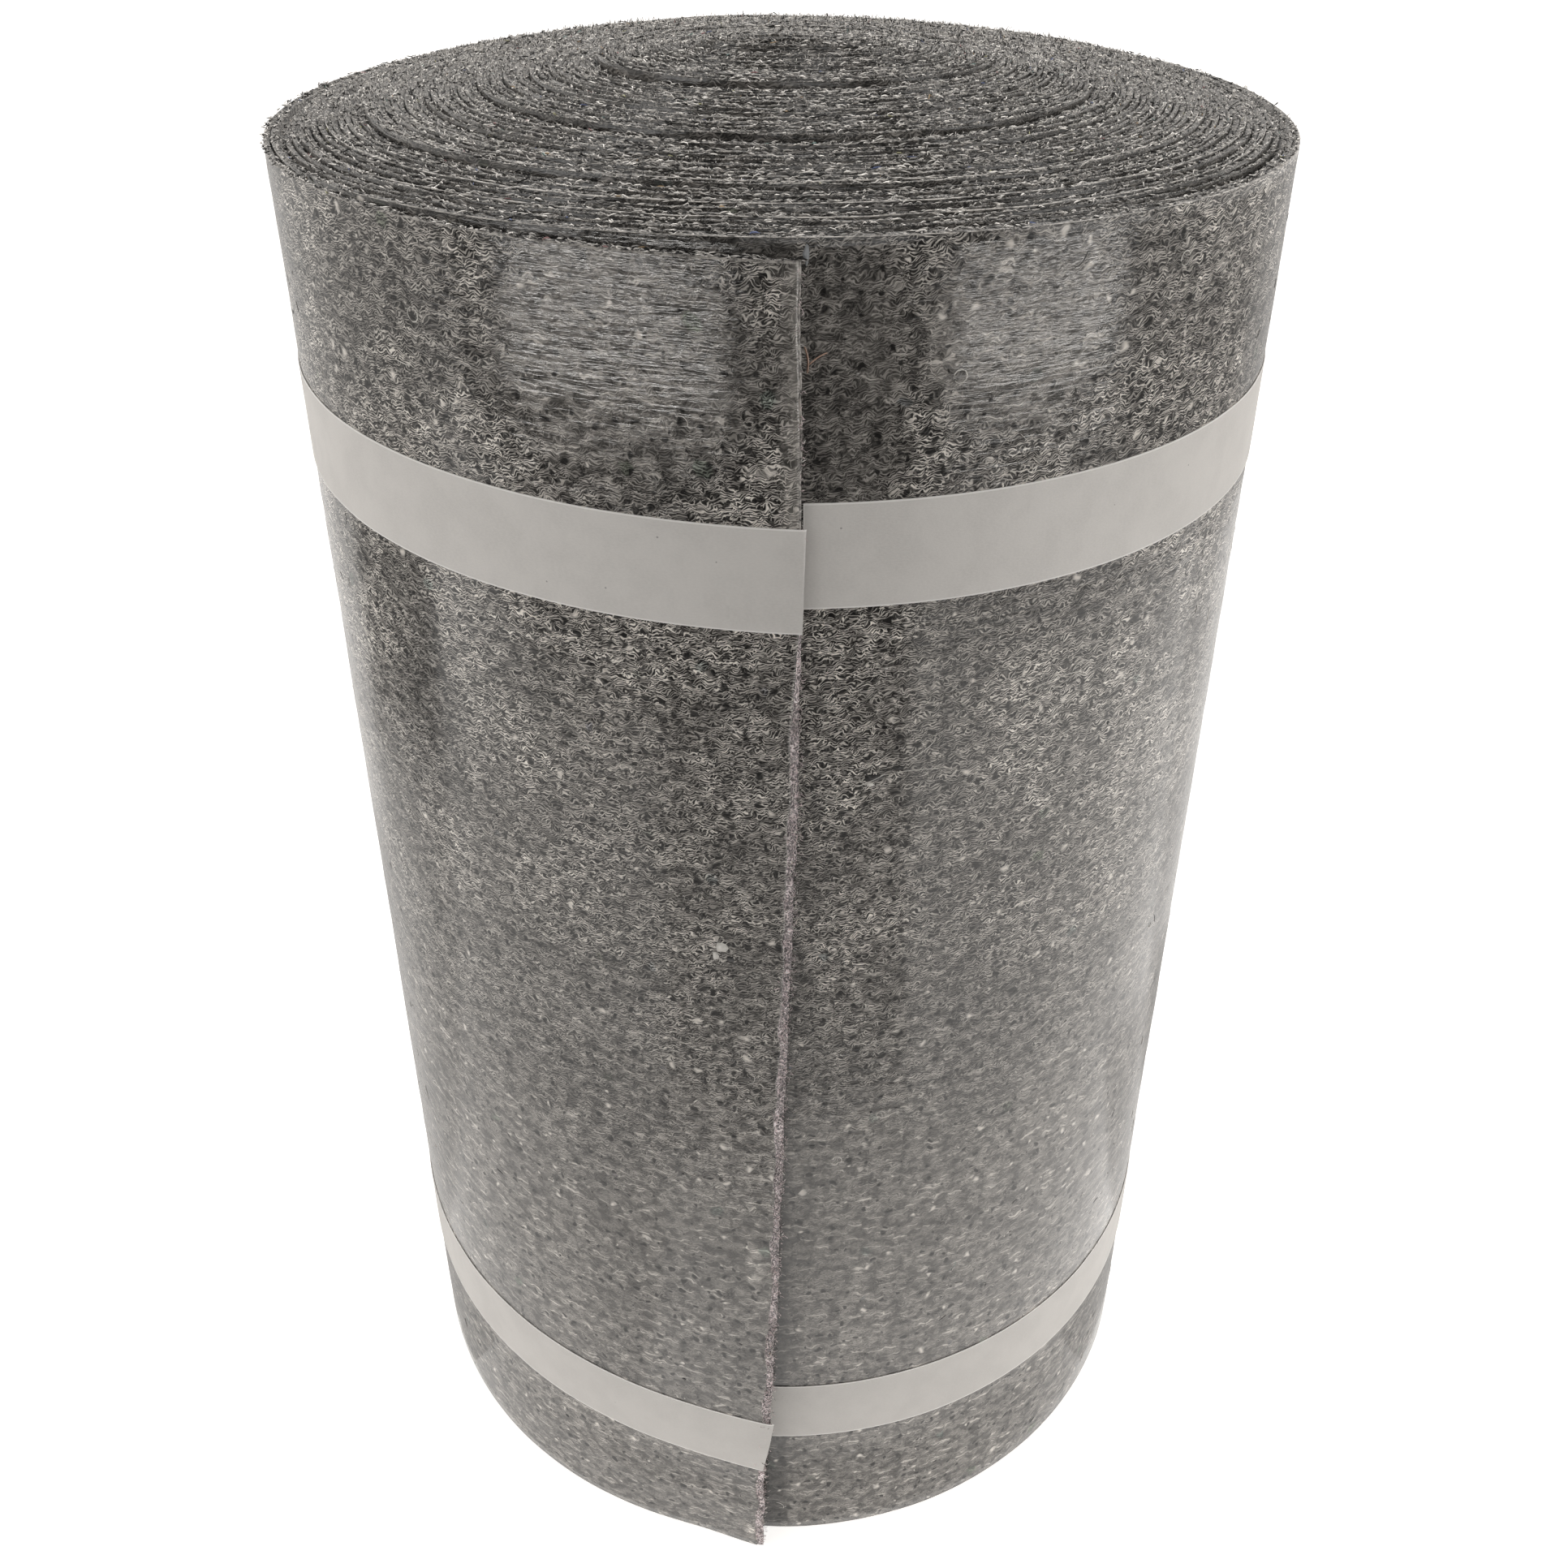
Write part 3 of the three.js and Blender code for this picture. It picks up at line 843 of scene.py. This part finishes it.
def edge_distances(height):
    """Each column's distance from the cut edge: over the bare felt, the film's end and on round the roll."""
    margin = np.interp(height, MARGIN_HEIGHTS, MARGIN_WIDTHS)
    margin = margin * (1 + 0.25 * smooth_noise(GRAIN, height / 9, 71))
    near = [margin * share for share in (0, 0.25, 0.5, 0.75, 0.96, 1)]
    far = [1, 2.4, 4.2, 6.6, 9.6, 13.4]
    whole = math.radians(LOOSE_WRAP) * OUTER_RADIUS
    rest = np.linspace(18, whole, 140)
    settled = np.clip((rest - 18) / 60, 0, 1)
    return near + [margin + d for d in far] + [d + margin * (1 - s) for d, s in zip(rest, settled)]


def loose_wraps(height):
    """Each column's wraps up the loose end. The columns follow the cut edge and straighten further on."""
    wraps = []
    for distance in edge_distances(height):
        distance = distance + 0 * height
        follow = np.clip(1 - distance / 150, 0, 1)
        wraps.append(edge_wrap(height) * follow + np.degrees(distance / OUTER_RADIUS))
    return np.stack(wraps)


def loose_section(height, wraps):
    """The loose end's section at each column: its outer face, crown, inner face and foot."""
    bare = np.zeros(len(wraps))
    bare[:NEAR_COLUMNS] = [1.0, 0.75, 0.6, 0.5, 0.4, 0.0]
    fluff = rng.uniform(-0.18, 0.18, wraps.shape) * (bare > 0)[:, None]
    outer = on_cloth(wraps, height[None], -bare[:, None] + fluff)
    thin = np.zeros(len(wraps))
    thin[:3] = [0.6, 0.25, 0.1]
    inner = on_cloth(wraps, height[None], -FELT + thin[:, None])
    top_wrap = wraps[:, -1]
    lip, rough = crown_heights(top_wrap)
    top = CLOTH_WIDTH + 0.25 * wander(top_wrap, 60, 15)
    crown = [on_cloth(top_wrap, top + lip, -ACROSS[0] - bare)]
    for a, r in zip(ACROSS[1:], rough):
        crown.append(on_cloth(top_wrap, top + 0.1 + r, -np.maximum(a, bare + 0.1 * a)))
    foot = [on_cloth(wraps[:, 0], 0.0 * top_wrap, above) for above in (-1.6, -0.9 - 0.2 * bare)]
    points = np.concatenate([outer, np.stack(crown, 1), inner[:, ::-1], np.stack(foot, 1)], axis=1)
    points[..., 2] = np.maximum(points[..., 2], 0)
    return points


def loose_kinds(up, column, row):
    """Each face's material. Beside the cut it is pale felt, and higher up the film's lip."""
    filmed = (row < WALL_ROWS - 1) | (row == len(up) - 1)
    kinds = np.where(filmed, FILM_FACE, CUT_FACE)
    kinds[row == WALL_ROWS - 1] = LIP_FACE
    beside_cut = (column < NEAR_COLUMNS - 2) & filmed
    kinds[beside_cut] = np.where(up[row] > FILM_TO_EDGE, LIP_FACE, PINK_FACE)[beside_cut]
    kinds[(column == NEAR_COLUMNS - 2) & filmed] = LIP_FACE
    return kinds.tolist()


def make_loose_end():
    """The loose end of the cloth. Gives the points along its upper edge too, and their wraps."""
    height = 0.8 + (CLOTH_WIDTH - 0.8 - TORN_FILM) * np.linspace(0, 1, WALL_ROWS)
    wraps = loose_wraps(height)
    points = loose_section(height, wraps)
    columns, rows = points.shape[:2]
    up = np.concatenate([height, [CLOTH_WIDTH] * 4, height[::-1], [0, 0]])
    faces, column, row = strip_faces(columns, rows, True)
    faces = faces.tolist()
    kinds = loose_kinds(up, column, row)
    for first, flip in ((0, True), ((columns - 1) * rows, False)):
        faces += loose_cap(first, rows, flip)
        kinds += [PINK_FACE if here < FILM_TO_EDGE else CUT_FACE for here in height[:-1]]
        kinds += [CUT_FACE, PINK_FACE]
    around_wraps = [wraps, np.repeat(wraps[:, -1:], 4, 1), wraps[:, ::-1], np.repeat(wraps[:, :1], 2, 1)]
    along = cloth_length(np.concatenate(around_wraps, 1))
    piece = make_piece("loose_end_cloth", points, faces, [FILM, LIP, CUT, PINKISH], kinds, (along, up))
    return piece, points[:, WALL_ROWS:WALL_ROWS + 3], wraps[:, -1]


def loose_cap(first, count, flip):
    """The faces that close one end of the loose end's section."""
    inner = [first + 2 * WALL_ROWS + 3 - k for k in range(WALL_ROWS)]
    outer = [first + k for k in range(WALL_ROWS)]
    faces = [[outer[k], outer[k + 1], inner[k + 1], inner[k]] for k in range(WALL_ROWS - 1)]
    faces.append([outer[-1]] + [first + WALL_ROWS + k for k in range(4)] + [inner[-1]])
    faces.append([outer[0], inner[0], first + count - 2, first + count - 1])
    return [face[::-1] for face in faces] if flip else faces


def make_strip(name, strip):
    """Tape under its liner: from just past the cut edge once round the roll, to end at or under that edge."""
    height = np.concatenate([[0, 0.2], np.linspace(2, STRIP_WIDTH - 2, 7), [STRIP_WIDTH - 0.2, STRIP_WIDTH]])
    height = strip["bottom"] + height
    edge = np.interp(height, EDGE_HEIGHTS, EDGE_WRAPS)
    beyond_edge = np.interp(height, height[[0, -1]], strip["past"])
    past = np.degrees(beyond_edge / OUTER_RADIUS)
    end = FULL_TURN + strip["tail"] if strip["tail"] > 0 else FULL_TURN + edge + strip["tail"]
    near = np.linspace(0.001, 0.02, 12)[:-1]
    share = np.concatenate([[0, 0.0002], near, np.linspace(0.02, 0.9998, 250), [1]])[:, None]
    wraps = (edge - past) + share * (end - (edge - past))
    beyond = np.radians(np.clip(edge[None] - wraps, 0, None)) * OUTER_RADIUS
    curl = -0.25 * beyond**2
    heights = np.broadcast_to(height, wraps.shape)
    sag = 0.1 * smooth_noise(BROAD, cloth_length(wraps) / 90, heights / 60 + 40)
    low = on_cloth(wraps, heights, STRIP_LIFT + curl)
    high = on_cloth(wraps, heights, STRIP_LIFT + STRIP_THICKNESS + curl + 0.5 * np.abs(sag))
    points = np.concatenate([high, low[:, ::-1]], axis=1)
    faces = strip_faces(*points.shape[:2], True)[0].tolist() + end_faces(*points.shape[:2])
    cloth = [np.concatenate([side, side[:, ::-1]], axis=1) for side in (cloth_length(wraps), heights)]
    paper = liner_paper(name, strip["bottom"], strip["pale"])
    return make_piece(name, points, faces, [paper], None, cloth)


# Loose fibres.

DYES = [(0.4, 0.22, 0.22), (0.14, 0.17, 0.3), (0.42, 0.3, 0.18), (0.18, 0.26, 0.24), (0.36, 0.35, 0.2)]


def fibre_colours(count):
    """Mostly pale and mid greys, some dark, and a few dyed ones."""
    pick = rng.random(count)
    values = [rng.uniform(0.4, 0.9, count), rng.uniform(0.12, 0.4, count)]
    colours = np.select([pick < 0.5, pick < 0.75], values, 0.02)[:, None] * np.array([1.05, 1.0, 0.94])
    dyed = rng.random(count) < 0.008
    colours[dyed] = np.array(DYES)[rng.integers(0, len(DYES), dyed.sum())]
    return colours


def curl_lines(root, heading, across, length, curl, points):
    """Lines that set out along a heading and wander to both sides of it."""
    share = np.linspace(0, 1, points)[None, :, None]
    swing = curl[:, None, None] * np.sin(np.pi * share * rng.uniform(0.8, 1.8, (len(root), 1, 1)))
    return root[:, None] + length[:, None, None] * (heading[:, None] * share + across[:, None] * swing)


def make_fuzz(name, edges, wraps, count, tallest=1.3):
    """Curly fibres on the cut edges of the turns: most lie along and over the turns, and some stand up."""
    spacing = np.abs(np.gradient(cloth_length(wraps)))[:-1] * (1 + 2 * np.exp(-np.abs(wraps[:-1]) / 60))
    at = rng.choice(len(wraps) - 1, count, p=spacing / spacing.sum())
    lane = rng.integers(0, edges.shape[1], count)
    share = rng.random((count, 1))
    here = edges[at, lane]
    after = edges[at + 1, lane]
    root = here * (1 - share) + after * share + rng.normal(0, 0.3, (count, 3)) * [1, 1, 0.2]
    along = unit(after - here)
    up = np.array([0.0, 0.0, 1.0])
    out = np.cross(along, up)
    at_back = np.clip(0.5 + root[:, 1:2] / 160, 0, 1)
    lying = rng.random((count, 1)) < 0.8 - 0.3 * at_back
    lean = np.where(lying, rng.choice([-1.0, 1.0], (count, 1)), rng.normal(0, 0.4, (count, 1)))
    rise = np.where(lying, rng.uniform(0.0, 0.3, (count, 1)), rng.uniform(0.8, 1.5, (count, 1)))
    heading = unit(along * lean + out * rng.normal(0, 0.35, (count, 1)) + up * rise)
    side = unit(np.cross(heading, up + rng.normal(0, 0.5, (count, 3))))
    side = unit(side * rng.choice([-1, 1], (count, 1)) + up * rng.uniform(0.0, 0.8, (count, 1)))
    within = np.clip((RIM_CALM[1] - np.hypot(*root[:, :2].T)) / (RIM_CALM[1] - RIM_CALM[0]), 0.3, 1)
    standing = rng.uniform(0.5, tallest, count) * (1 + at_back[:, 0]) * within
    length = np.where(lying[:, 0], rng.uniform(1.2, 4.2, count), standing)
    lines = curl_lines(root, heading, side, length, rng.uniform(0.03, 0.32, count), 4)
    lines[..., 2] = np.maximum(lines[..., 2], root[:, None, 2] - 0.1)
    thickness = rng.uniform(0.34, 0.62, count) * np.where(lying[:, 0], 1, 0.7)
    return make_fibres(name, lines, thickness, fibre_colours(count), FIBRE)


def make_tufts():
    """Dark tufts that stand up on the rim."""
    bearing = np.repeat(TUFT_BEARINGS, TUFT_FIBRES)
    count = len(bearing)
    foot = rim_height(-bearing) - 1
    root = around(OUTER_RADIUS - 2.5 + rng.normal(0, 0.7, count), rng.normal(0, 0.3, count) - bearing, foot)
    heading = unit(rng.normal(0, 0.5, (count, 3)) + [0, 0, 1])
    side = unit(np.cross(heading, rng.normal(size=(count, 3))))
    lines = curl_lines(root, heading, side, rng.uniform(1.5, 3.6, count), rng.uniform(0.1, 0.5, count), 4)
    colours = rng.uniform(0.02, 0.12, (count, 1)) * np.array([1.05, 1.0, 0.95])
    return make_fibres("rim_tufts", lines, rng.uniform(0.3, 0.6, count), colours, FIBRE)


def make_seam_fuzz(count):
    """Short pinkish and pale fibres along the cut edge, sparse above where the film runs up to the cut."""
    height = rng.uniform(3, CLOTH_WIDTH - 3, count)
    height = np.where((height > 500) & (rng.random(count) < 0.6), rng.uniform(3, 500, count), height)
    margin = np.interp(height, MARGIN_HEIGHTS, MARGIN_WIDTHS)
    back = rng.uniform(-0.3, 1.1, count) * margin
    wrap = edge_wrap(height) + np.degrees(back / OUTER_RADIUS)
    heading = rng.uniform(0, 2 * np.pi, count)
    length = rng.uniform(0.5, 2.0, count) * (1 + (rng.random(count) < 0.1))
    share = np.linspace(0, 1, 4)[None]
    bend = rng.normal(0, 0.35, (count, 1)) * np.sin(np.pi * share)
    along = length[:, None] * (np.cos(heading)[:, None] * share - np.sin(heading)[:, None] * bend)
    rise = length[:, None] * (np.sin(heading)[:, None] * share + np.cos(heading)[:, None] * bend)
    above = -0.75 + 0.6 * length[:, None] * np.sin(np.pi * share) * rng.uniform(0.2, 1.0, (count, 1))
    lines = on_cloth(wrap[:, None] + np.degrees(along / OUTER_RADIUS), height[:, None] + rise, above)
    colours = fibre_colours(count)
    rosy = rng.random(count) < 0.5
    colours[rosy] = rng.uniform(0.4, 0.8, (rosy.sum(), 1)) * np.array([1.16, 0.96, 0.96])
    return make_fibres("seam_fuzz", lines, rng.uniform(0.16, 0.34, count), colours, FIBRE)


def film_place(bearing, height):
    """The wrap and the unslipped height of a place that is seen at a bearing, positive to the right."""
    wrap = np.where(bearing < -edge_wrap(height), -bearing, FULL_TURN - bearing)
    return wrap, height + np.where(wrap < LOOSE_WRAP, slip_down(wrap, height), 0)


def film_threads(bearing, height, heading, length, curl):
    """Lines of points for fibres that lie in the face of the cloth, in degrees and millimetres."""
    wrap, level = film_place(bearing, height)
    share = np.linspace(0, 1, THREAD_POINTS)[None]
    angle = np.radians(heading)[:, None] + np.radians(curl)[:, None] * share
    step = length[:, None] / (THREAD_POINTS - 1)
    across = np.cumsum(step * np.cos(angle), axis=1)
    rise = np.cumsum(step * np.sin(angle), axis=1)
    return on_cloth(wrap[:, None] - np.degrees(across / OUTER_RADIUS), level[:, None] + rise, THREAD_LIFT)


def spread_places(count, side):
    return rng.uniform(*side, count), rng.uniform(4, CLOTH_WIDTH - 12, count)


def make_threads(name, shown, count, side):
    """Stray fibres in the face of the cloth: the shown ones from the table, and scattered short ones."""
    table = np.array([row[:5] for row in shown])
    bearing, height = spread_places(count, side)
    heading = rng.normal(0, 28, count)
    length = rng.uniform(2, 8, count)
    curl = rng.normal(0, 120, count)
    scattered = np.stack([bearing, height, heading, length, curl], axis=1)
    rows = np.concatenate([table, scattered])
    thickness = np.concatenate([[row[5] for row in shown], rng.uniform(0.16, 0.36, count)])
    colours = np.concatenate([[row[6] for row in shown], fibre_colours(count)])
    return make_fibres(name, film_threads(*rows.T), thickness, colours, FILMED_FIBRE)


def make_specks(name, shown, count, side):
    """Neps and small holes: flat lentils with uneven outlines, pale or dark."""
    bearing, height = spread_places(count, side)
    wide = rng.uniform(0.3, 0.8, count) * rng.uniform(0.6, 1.4, count)
    tall = wide * rng.uniform(0.5, 1.0, count)
    pale = rng.random((count, 1)) < 0.3
    value = np.where(pale, rng.uniform(0.4, 0.75, (count, 1)), rng.uniform(0.006, 0.03, (count, 1)))
    table = np.array([row[:4] for row in shown])
    rows = np.concatenate([table, np.stack([bearing, height, wide, tall], axis=1)])
    colours = np.concatenate([[row[4] for row in shown], value * np.array([1.05, 1.0, 0.95])])
    bearing, height, wide, tall = rows.T
    wrap, level = film_place(bearing, height)
    corner = 2 * np.pi * np.arange(SPECK_CORNERS) / SPECK_CORNERS
    uneven = rng.uniform(0.65, 1.2, (len(rows), SPECK_CORNERS))
    across = np.pad(uneven * np.cos(corner) * wide[:, None], ((0, 0), (0, 2)))
    rise = np.pad(uneven * np.sin(corner) * tall[:, None], ((0, 0), (0, 2)))
    above = np.array([0.02] * SPECK_CORNERS + [0.14, -0.1])
    points = on_cloth(wrap[:, None] - np.degrees(across / OUTER_RADIUS), level[:, None] + rise, above)
    sides = [(k, (k + 1) % SPECK_CORNERS) for k in range(SPECK_CORNERS)]
    top = [(here, after, SPECK_CORNERS) for here, after in sides]
    bottom = [(after, here, SPECK_CORNERS + 1) for here, after in sides]
    each = SPECK_CORNERS + 2
    piece = make_piece(name, points, repeated(top + bottom, each, len(rows)), [FILMED_FIBRE])
    paint(piece, colours, each)
    return piece


# The studio.

# The camera was fitted to the photograph. Its focal length and its centre are in the photograph's pixels.
CAMERA_AT = (0, -683.85, 780.46)
CAMERA_PITCH = 33.529
CAMERA_ROLL = 0.143
PHOTO_SIDE = 1932
FOCAL_LENGTH = 2009.13
CENTRE_X = 963.68
SENSOR = 36

# Brightness of the room in front of the roll and behind it. In front the floor is dark up to the first of two
# distances, and it is bright from the second one on.
DIM = 0.1
BRIGHT = 1.1
FLOOR_HALF = 9000
FLOOR_DARK = (-900, -260)
FLOOR_GLOW = (0.02, 0.78)
LIGHT_WARMTH = 0.025

# Soft lights: place, aim and size in metres, and power in watts.
LIGHTS = {
    "soft_right": ((2.0, -0.9, 1.4), (0.1, 0, 0.5), (1.2, 1.2), 8),
    "soft_left": ((-1.5, -1.0, 1.3), (-0.1, 0, 0.5), (1.0, 1.0), 6.5),
    "soft_front": ((0.4, -2.2, 1.9), (0, 0, 0.5), (1.4, 1.0), 7),
    "soft_top": ((0, 0.9, 2.1), (0, 0, 0.65), (2.2, 1.2), 30),
}

# Cards that are seen in the film's gloss: radiance, two bearings, near and far distance. They lie just above
# the floor. The windows stand, and have a low and a high edge too.
CARD_HEIGHT = 4
CARDS = {
    "card_contact": (0.85, -60, 60, 200, 235),
    "card_contact_left": (0.55, -165, -60, 200, 235),
    "card_contact_right": (0.6, 60, 165, 200, 235),
    "card_foot": (1.5, -28, 28, 235, 500),
    "card_near": (0.55, -28, 28, 500, 945),
    "card_left_near": (1.1, -85, -28, 235, 1000),
    "card_left": (0.25, -118, -85, 830, 1500),
    "card_left_side": (0.75, -118, -85, 235, 830),
    "card_left_far": (0.6, -118, -75, 1500, 6000),
    "card_back_left": (0.9, -165, -118, 600, 1500),
    "card_back_left_near": (0.7, -165, -118, 235, 600),
    "card_back_left_far": (0.65, -165, -118, 1500, 6000),
    "card_right": (1.5, 28, 112, 430, 1300),
    "card_right_near": (1.5, 28, 88, 235, 430),
    "card_right_side": (0.85, 88, 112, 235, 430),
    "card_far_right": (0.35, 60, 125, 1300, 4500),
    "card_back_right": (0.95, 112, 165, 450, 1300),
    "card_back_right_near": (0.5, 112, 165, 235, 450),
    "card_back_right_far": (0.55, 125, 165, 1300, 6000),
    "window_left": (15, -56, -12, 1450, 1450, 315, 440),
    "window_right": (9, 34, 71, 1400, 1400, 255, 430),
}
CARD_COLUMNS = 13


def make_camera():
    data = bpy.data.cameras.new("camera")
    data.sensor_width = SENSOR
    data.lens = SENSOR * FOCAL_LENGTH / PHOTO_SIDE
    data.shift_x = (PHOTO_SIDE / 2 - CENTRE_X) / PHOTO_SIDE
    data.clip_start = 0.05
    data.clip_end = 60
    camera = place_in_scene("camera", data)
    pitch = Matrix.Rotation(math.radians(90 - CAMERA_PITCH), 4, "X")
    roll = Matrix.Rotation(math.radians(CAMERA_ROLL), 4, "Z")
    camera.matrix_world = Matrix.Translation([x * METRES for x in CAMERA_AT]) @ pitch @ roll
    bpy.context.scene.camera = camera


def make_floor():
    """A pale light table that darkens in front of the roll, out of the camera's sight."""
    corners = [FLOOR_HALF * np.array([x, y, 0]) for x, y in ((-1, -1), (1, -1), (1, 1), (-1, 1))]
    mesh = make_mesh("floor", corners, [(0, 1, 2, 3)])
    nodes = Nodes("floor")
    lit = nodes.step(nodes.parts(nodes.place())[1], *FLOOR_DARK)
    shade = nodes.mix(lit, grey(0.06, 0.0), grey(0.6, 0.0))
    nodes.finish(Base_Color=shade, Roughness=1.0, Specular_IOR_Level=0.0)
    glow = nodes.step(lit, 0.0, 1.0, *FLOOR_GLOW)
    mesh.materials.append(nodes.finish(Emission_Color=grey(1.0, LIGHT_WARMTH), Emission_Strength=glow))
    place_in_scene("floor", mesh)


def make_card(name, radiance, first, last, near, far, low=CARD_HEIGHT, high=CARD_HEIGHT):
    """A glowing card, seen only in the film's gloss, from a near low edge to a far high one."""
    bearings = -np.linspace(first, last, CARD_COLUMNS)
    points = np.concatenate([around(near, bearings, low), around(far, bearings, high)])
    corners = [(k, k + 1, CARD_COLUMNS + k + 1, CARD_COLUMNS + k) for k in range(CARD_COLUMNS - 1)]
    mesh = make_mesh(name, points, corners)
    nodes = Nodes(name)
    nodes.finish(Base_Color=grey(0.0), Roughness=1.0, Specular_IOR_Level=0.0)
    mesh.materials.append(nodes.finish(Emission_Color=grey(1.0, LIGHT_WARMTH), Emission_Strength=radiance))
    card = place_in_scene(name, mesh)
    card.visible_camera = False
    card.visible_diffuse = False
    card.visible_shadow = False


def make_light(name, at, aim, size, power):
    data = bpy.data.lights.new(name, "AREA")
    data.shape = "RECTANGLE"
    data.size, data.size_y = size
    data.energy = power
    light = place_in_scene(name, data)
    towards = (Vector(aim) - Vector(at)).to_track_quat("-Z", "Y")
    light.matrix_world = Matrix.Translation(at) @ towards.to_matrix().to_4x4()
    light.visible_camera = False


def make_world():
    """A white room that is brighter behind the roll than in front of it."""
    world = bpy.data.worlds.new("studio")
    nodes = Nodes("studio", world)
    backdrop = nodes.tree.nodes["Background"]
    nodes.put(backdrop.inputs["Color"], grey(1.0, LIGHT_WARMTH))
    heading = nodes.parts(nodes.add("ShaderNodeTexCoord").outputs["Generated"])
    nodes.put(backdrop.inputs["Strength"], nodes.step(heading[1], -0.9, 0.5, DIM, BRIGHT))
    bpy.context.scene.world = world
    bpy.context.scene.view_settings.view_transform = "Standard"


def dress(slot, node, *pieces):
    """Hides the solid whose place the pieces take; slot is not used."""
    for piece in pieces:
        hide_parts(node)


make_camera()
make_world()
make_floor()
for name, settings in LIGHTS.items():
    make_light(name, *settings)
for name, settings in CARDS.items():
    make_card(name, *settings)

wall, wall_edges, wall_wraps = make_wall()
turns, turn_points, turn_wraps = make_turn_edges()
foot = make_foot_edges()
loose_end, loose_edges, loose_edge_wraps = make_loose_end()
upper = make_strip("upper_tape", UPPER_STRIP)
lower = make_strip("lower_tape", LOWER_STRIP)
top_fuzz = [make_fuzz(f"top_fuzz_{k}", turn_points, turn_wraps, 13200) for k in range(3)]
rim_fuzz = make_fuzz("rim_fuzz", wall_edges[:, 1:], wall_wraps, 1200, tallest=0.8)
rim_tufts = make_tufts()
loose_fuzz = make_fuzz("loose_fuzz", loose_edges, loose_edge_wraps, 1300, tallest=1.0)
seam_fuzz = make_seam_fuzz(2600)
loose_threads = make_threads("loose_threads", LEFT_THREADS, 260, LEFT_SIDE)
wall_threads = make_threads("wall_threads", RIGHT_THREADS, 240, RIGHT_SIDE)
loose_specks = make_specks("loose_specks", LEFT_SPECKS, 220, LEFT_SIDE)
wall_specks = make_specks("wall_specks", RIGHT_SPECKS, 200, RIGHT_SIDE)

on_loose_end = [loose_fuzz, seam_fuzz, loose_threads, loose_specks]
on_wound_roll = [turns, foot, rim_fuzz, rim_tufts, wall_threads, wall_specks, *top_fuzz]
dress("wound_felt", "wound_roll", wall, *on_wound_roll)
dress("filmed_felt", "loose_end", loose_end, *on_loose_end)
dress("liner_paper", "upper_strip", upper)
dress("liner_paper", "lower_strip", lower)
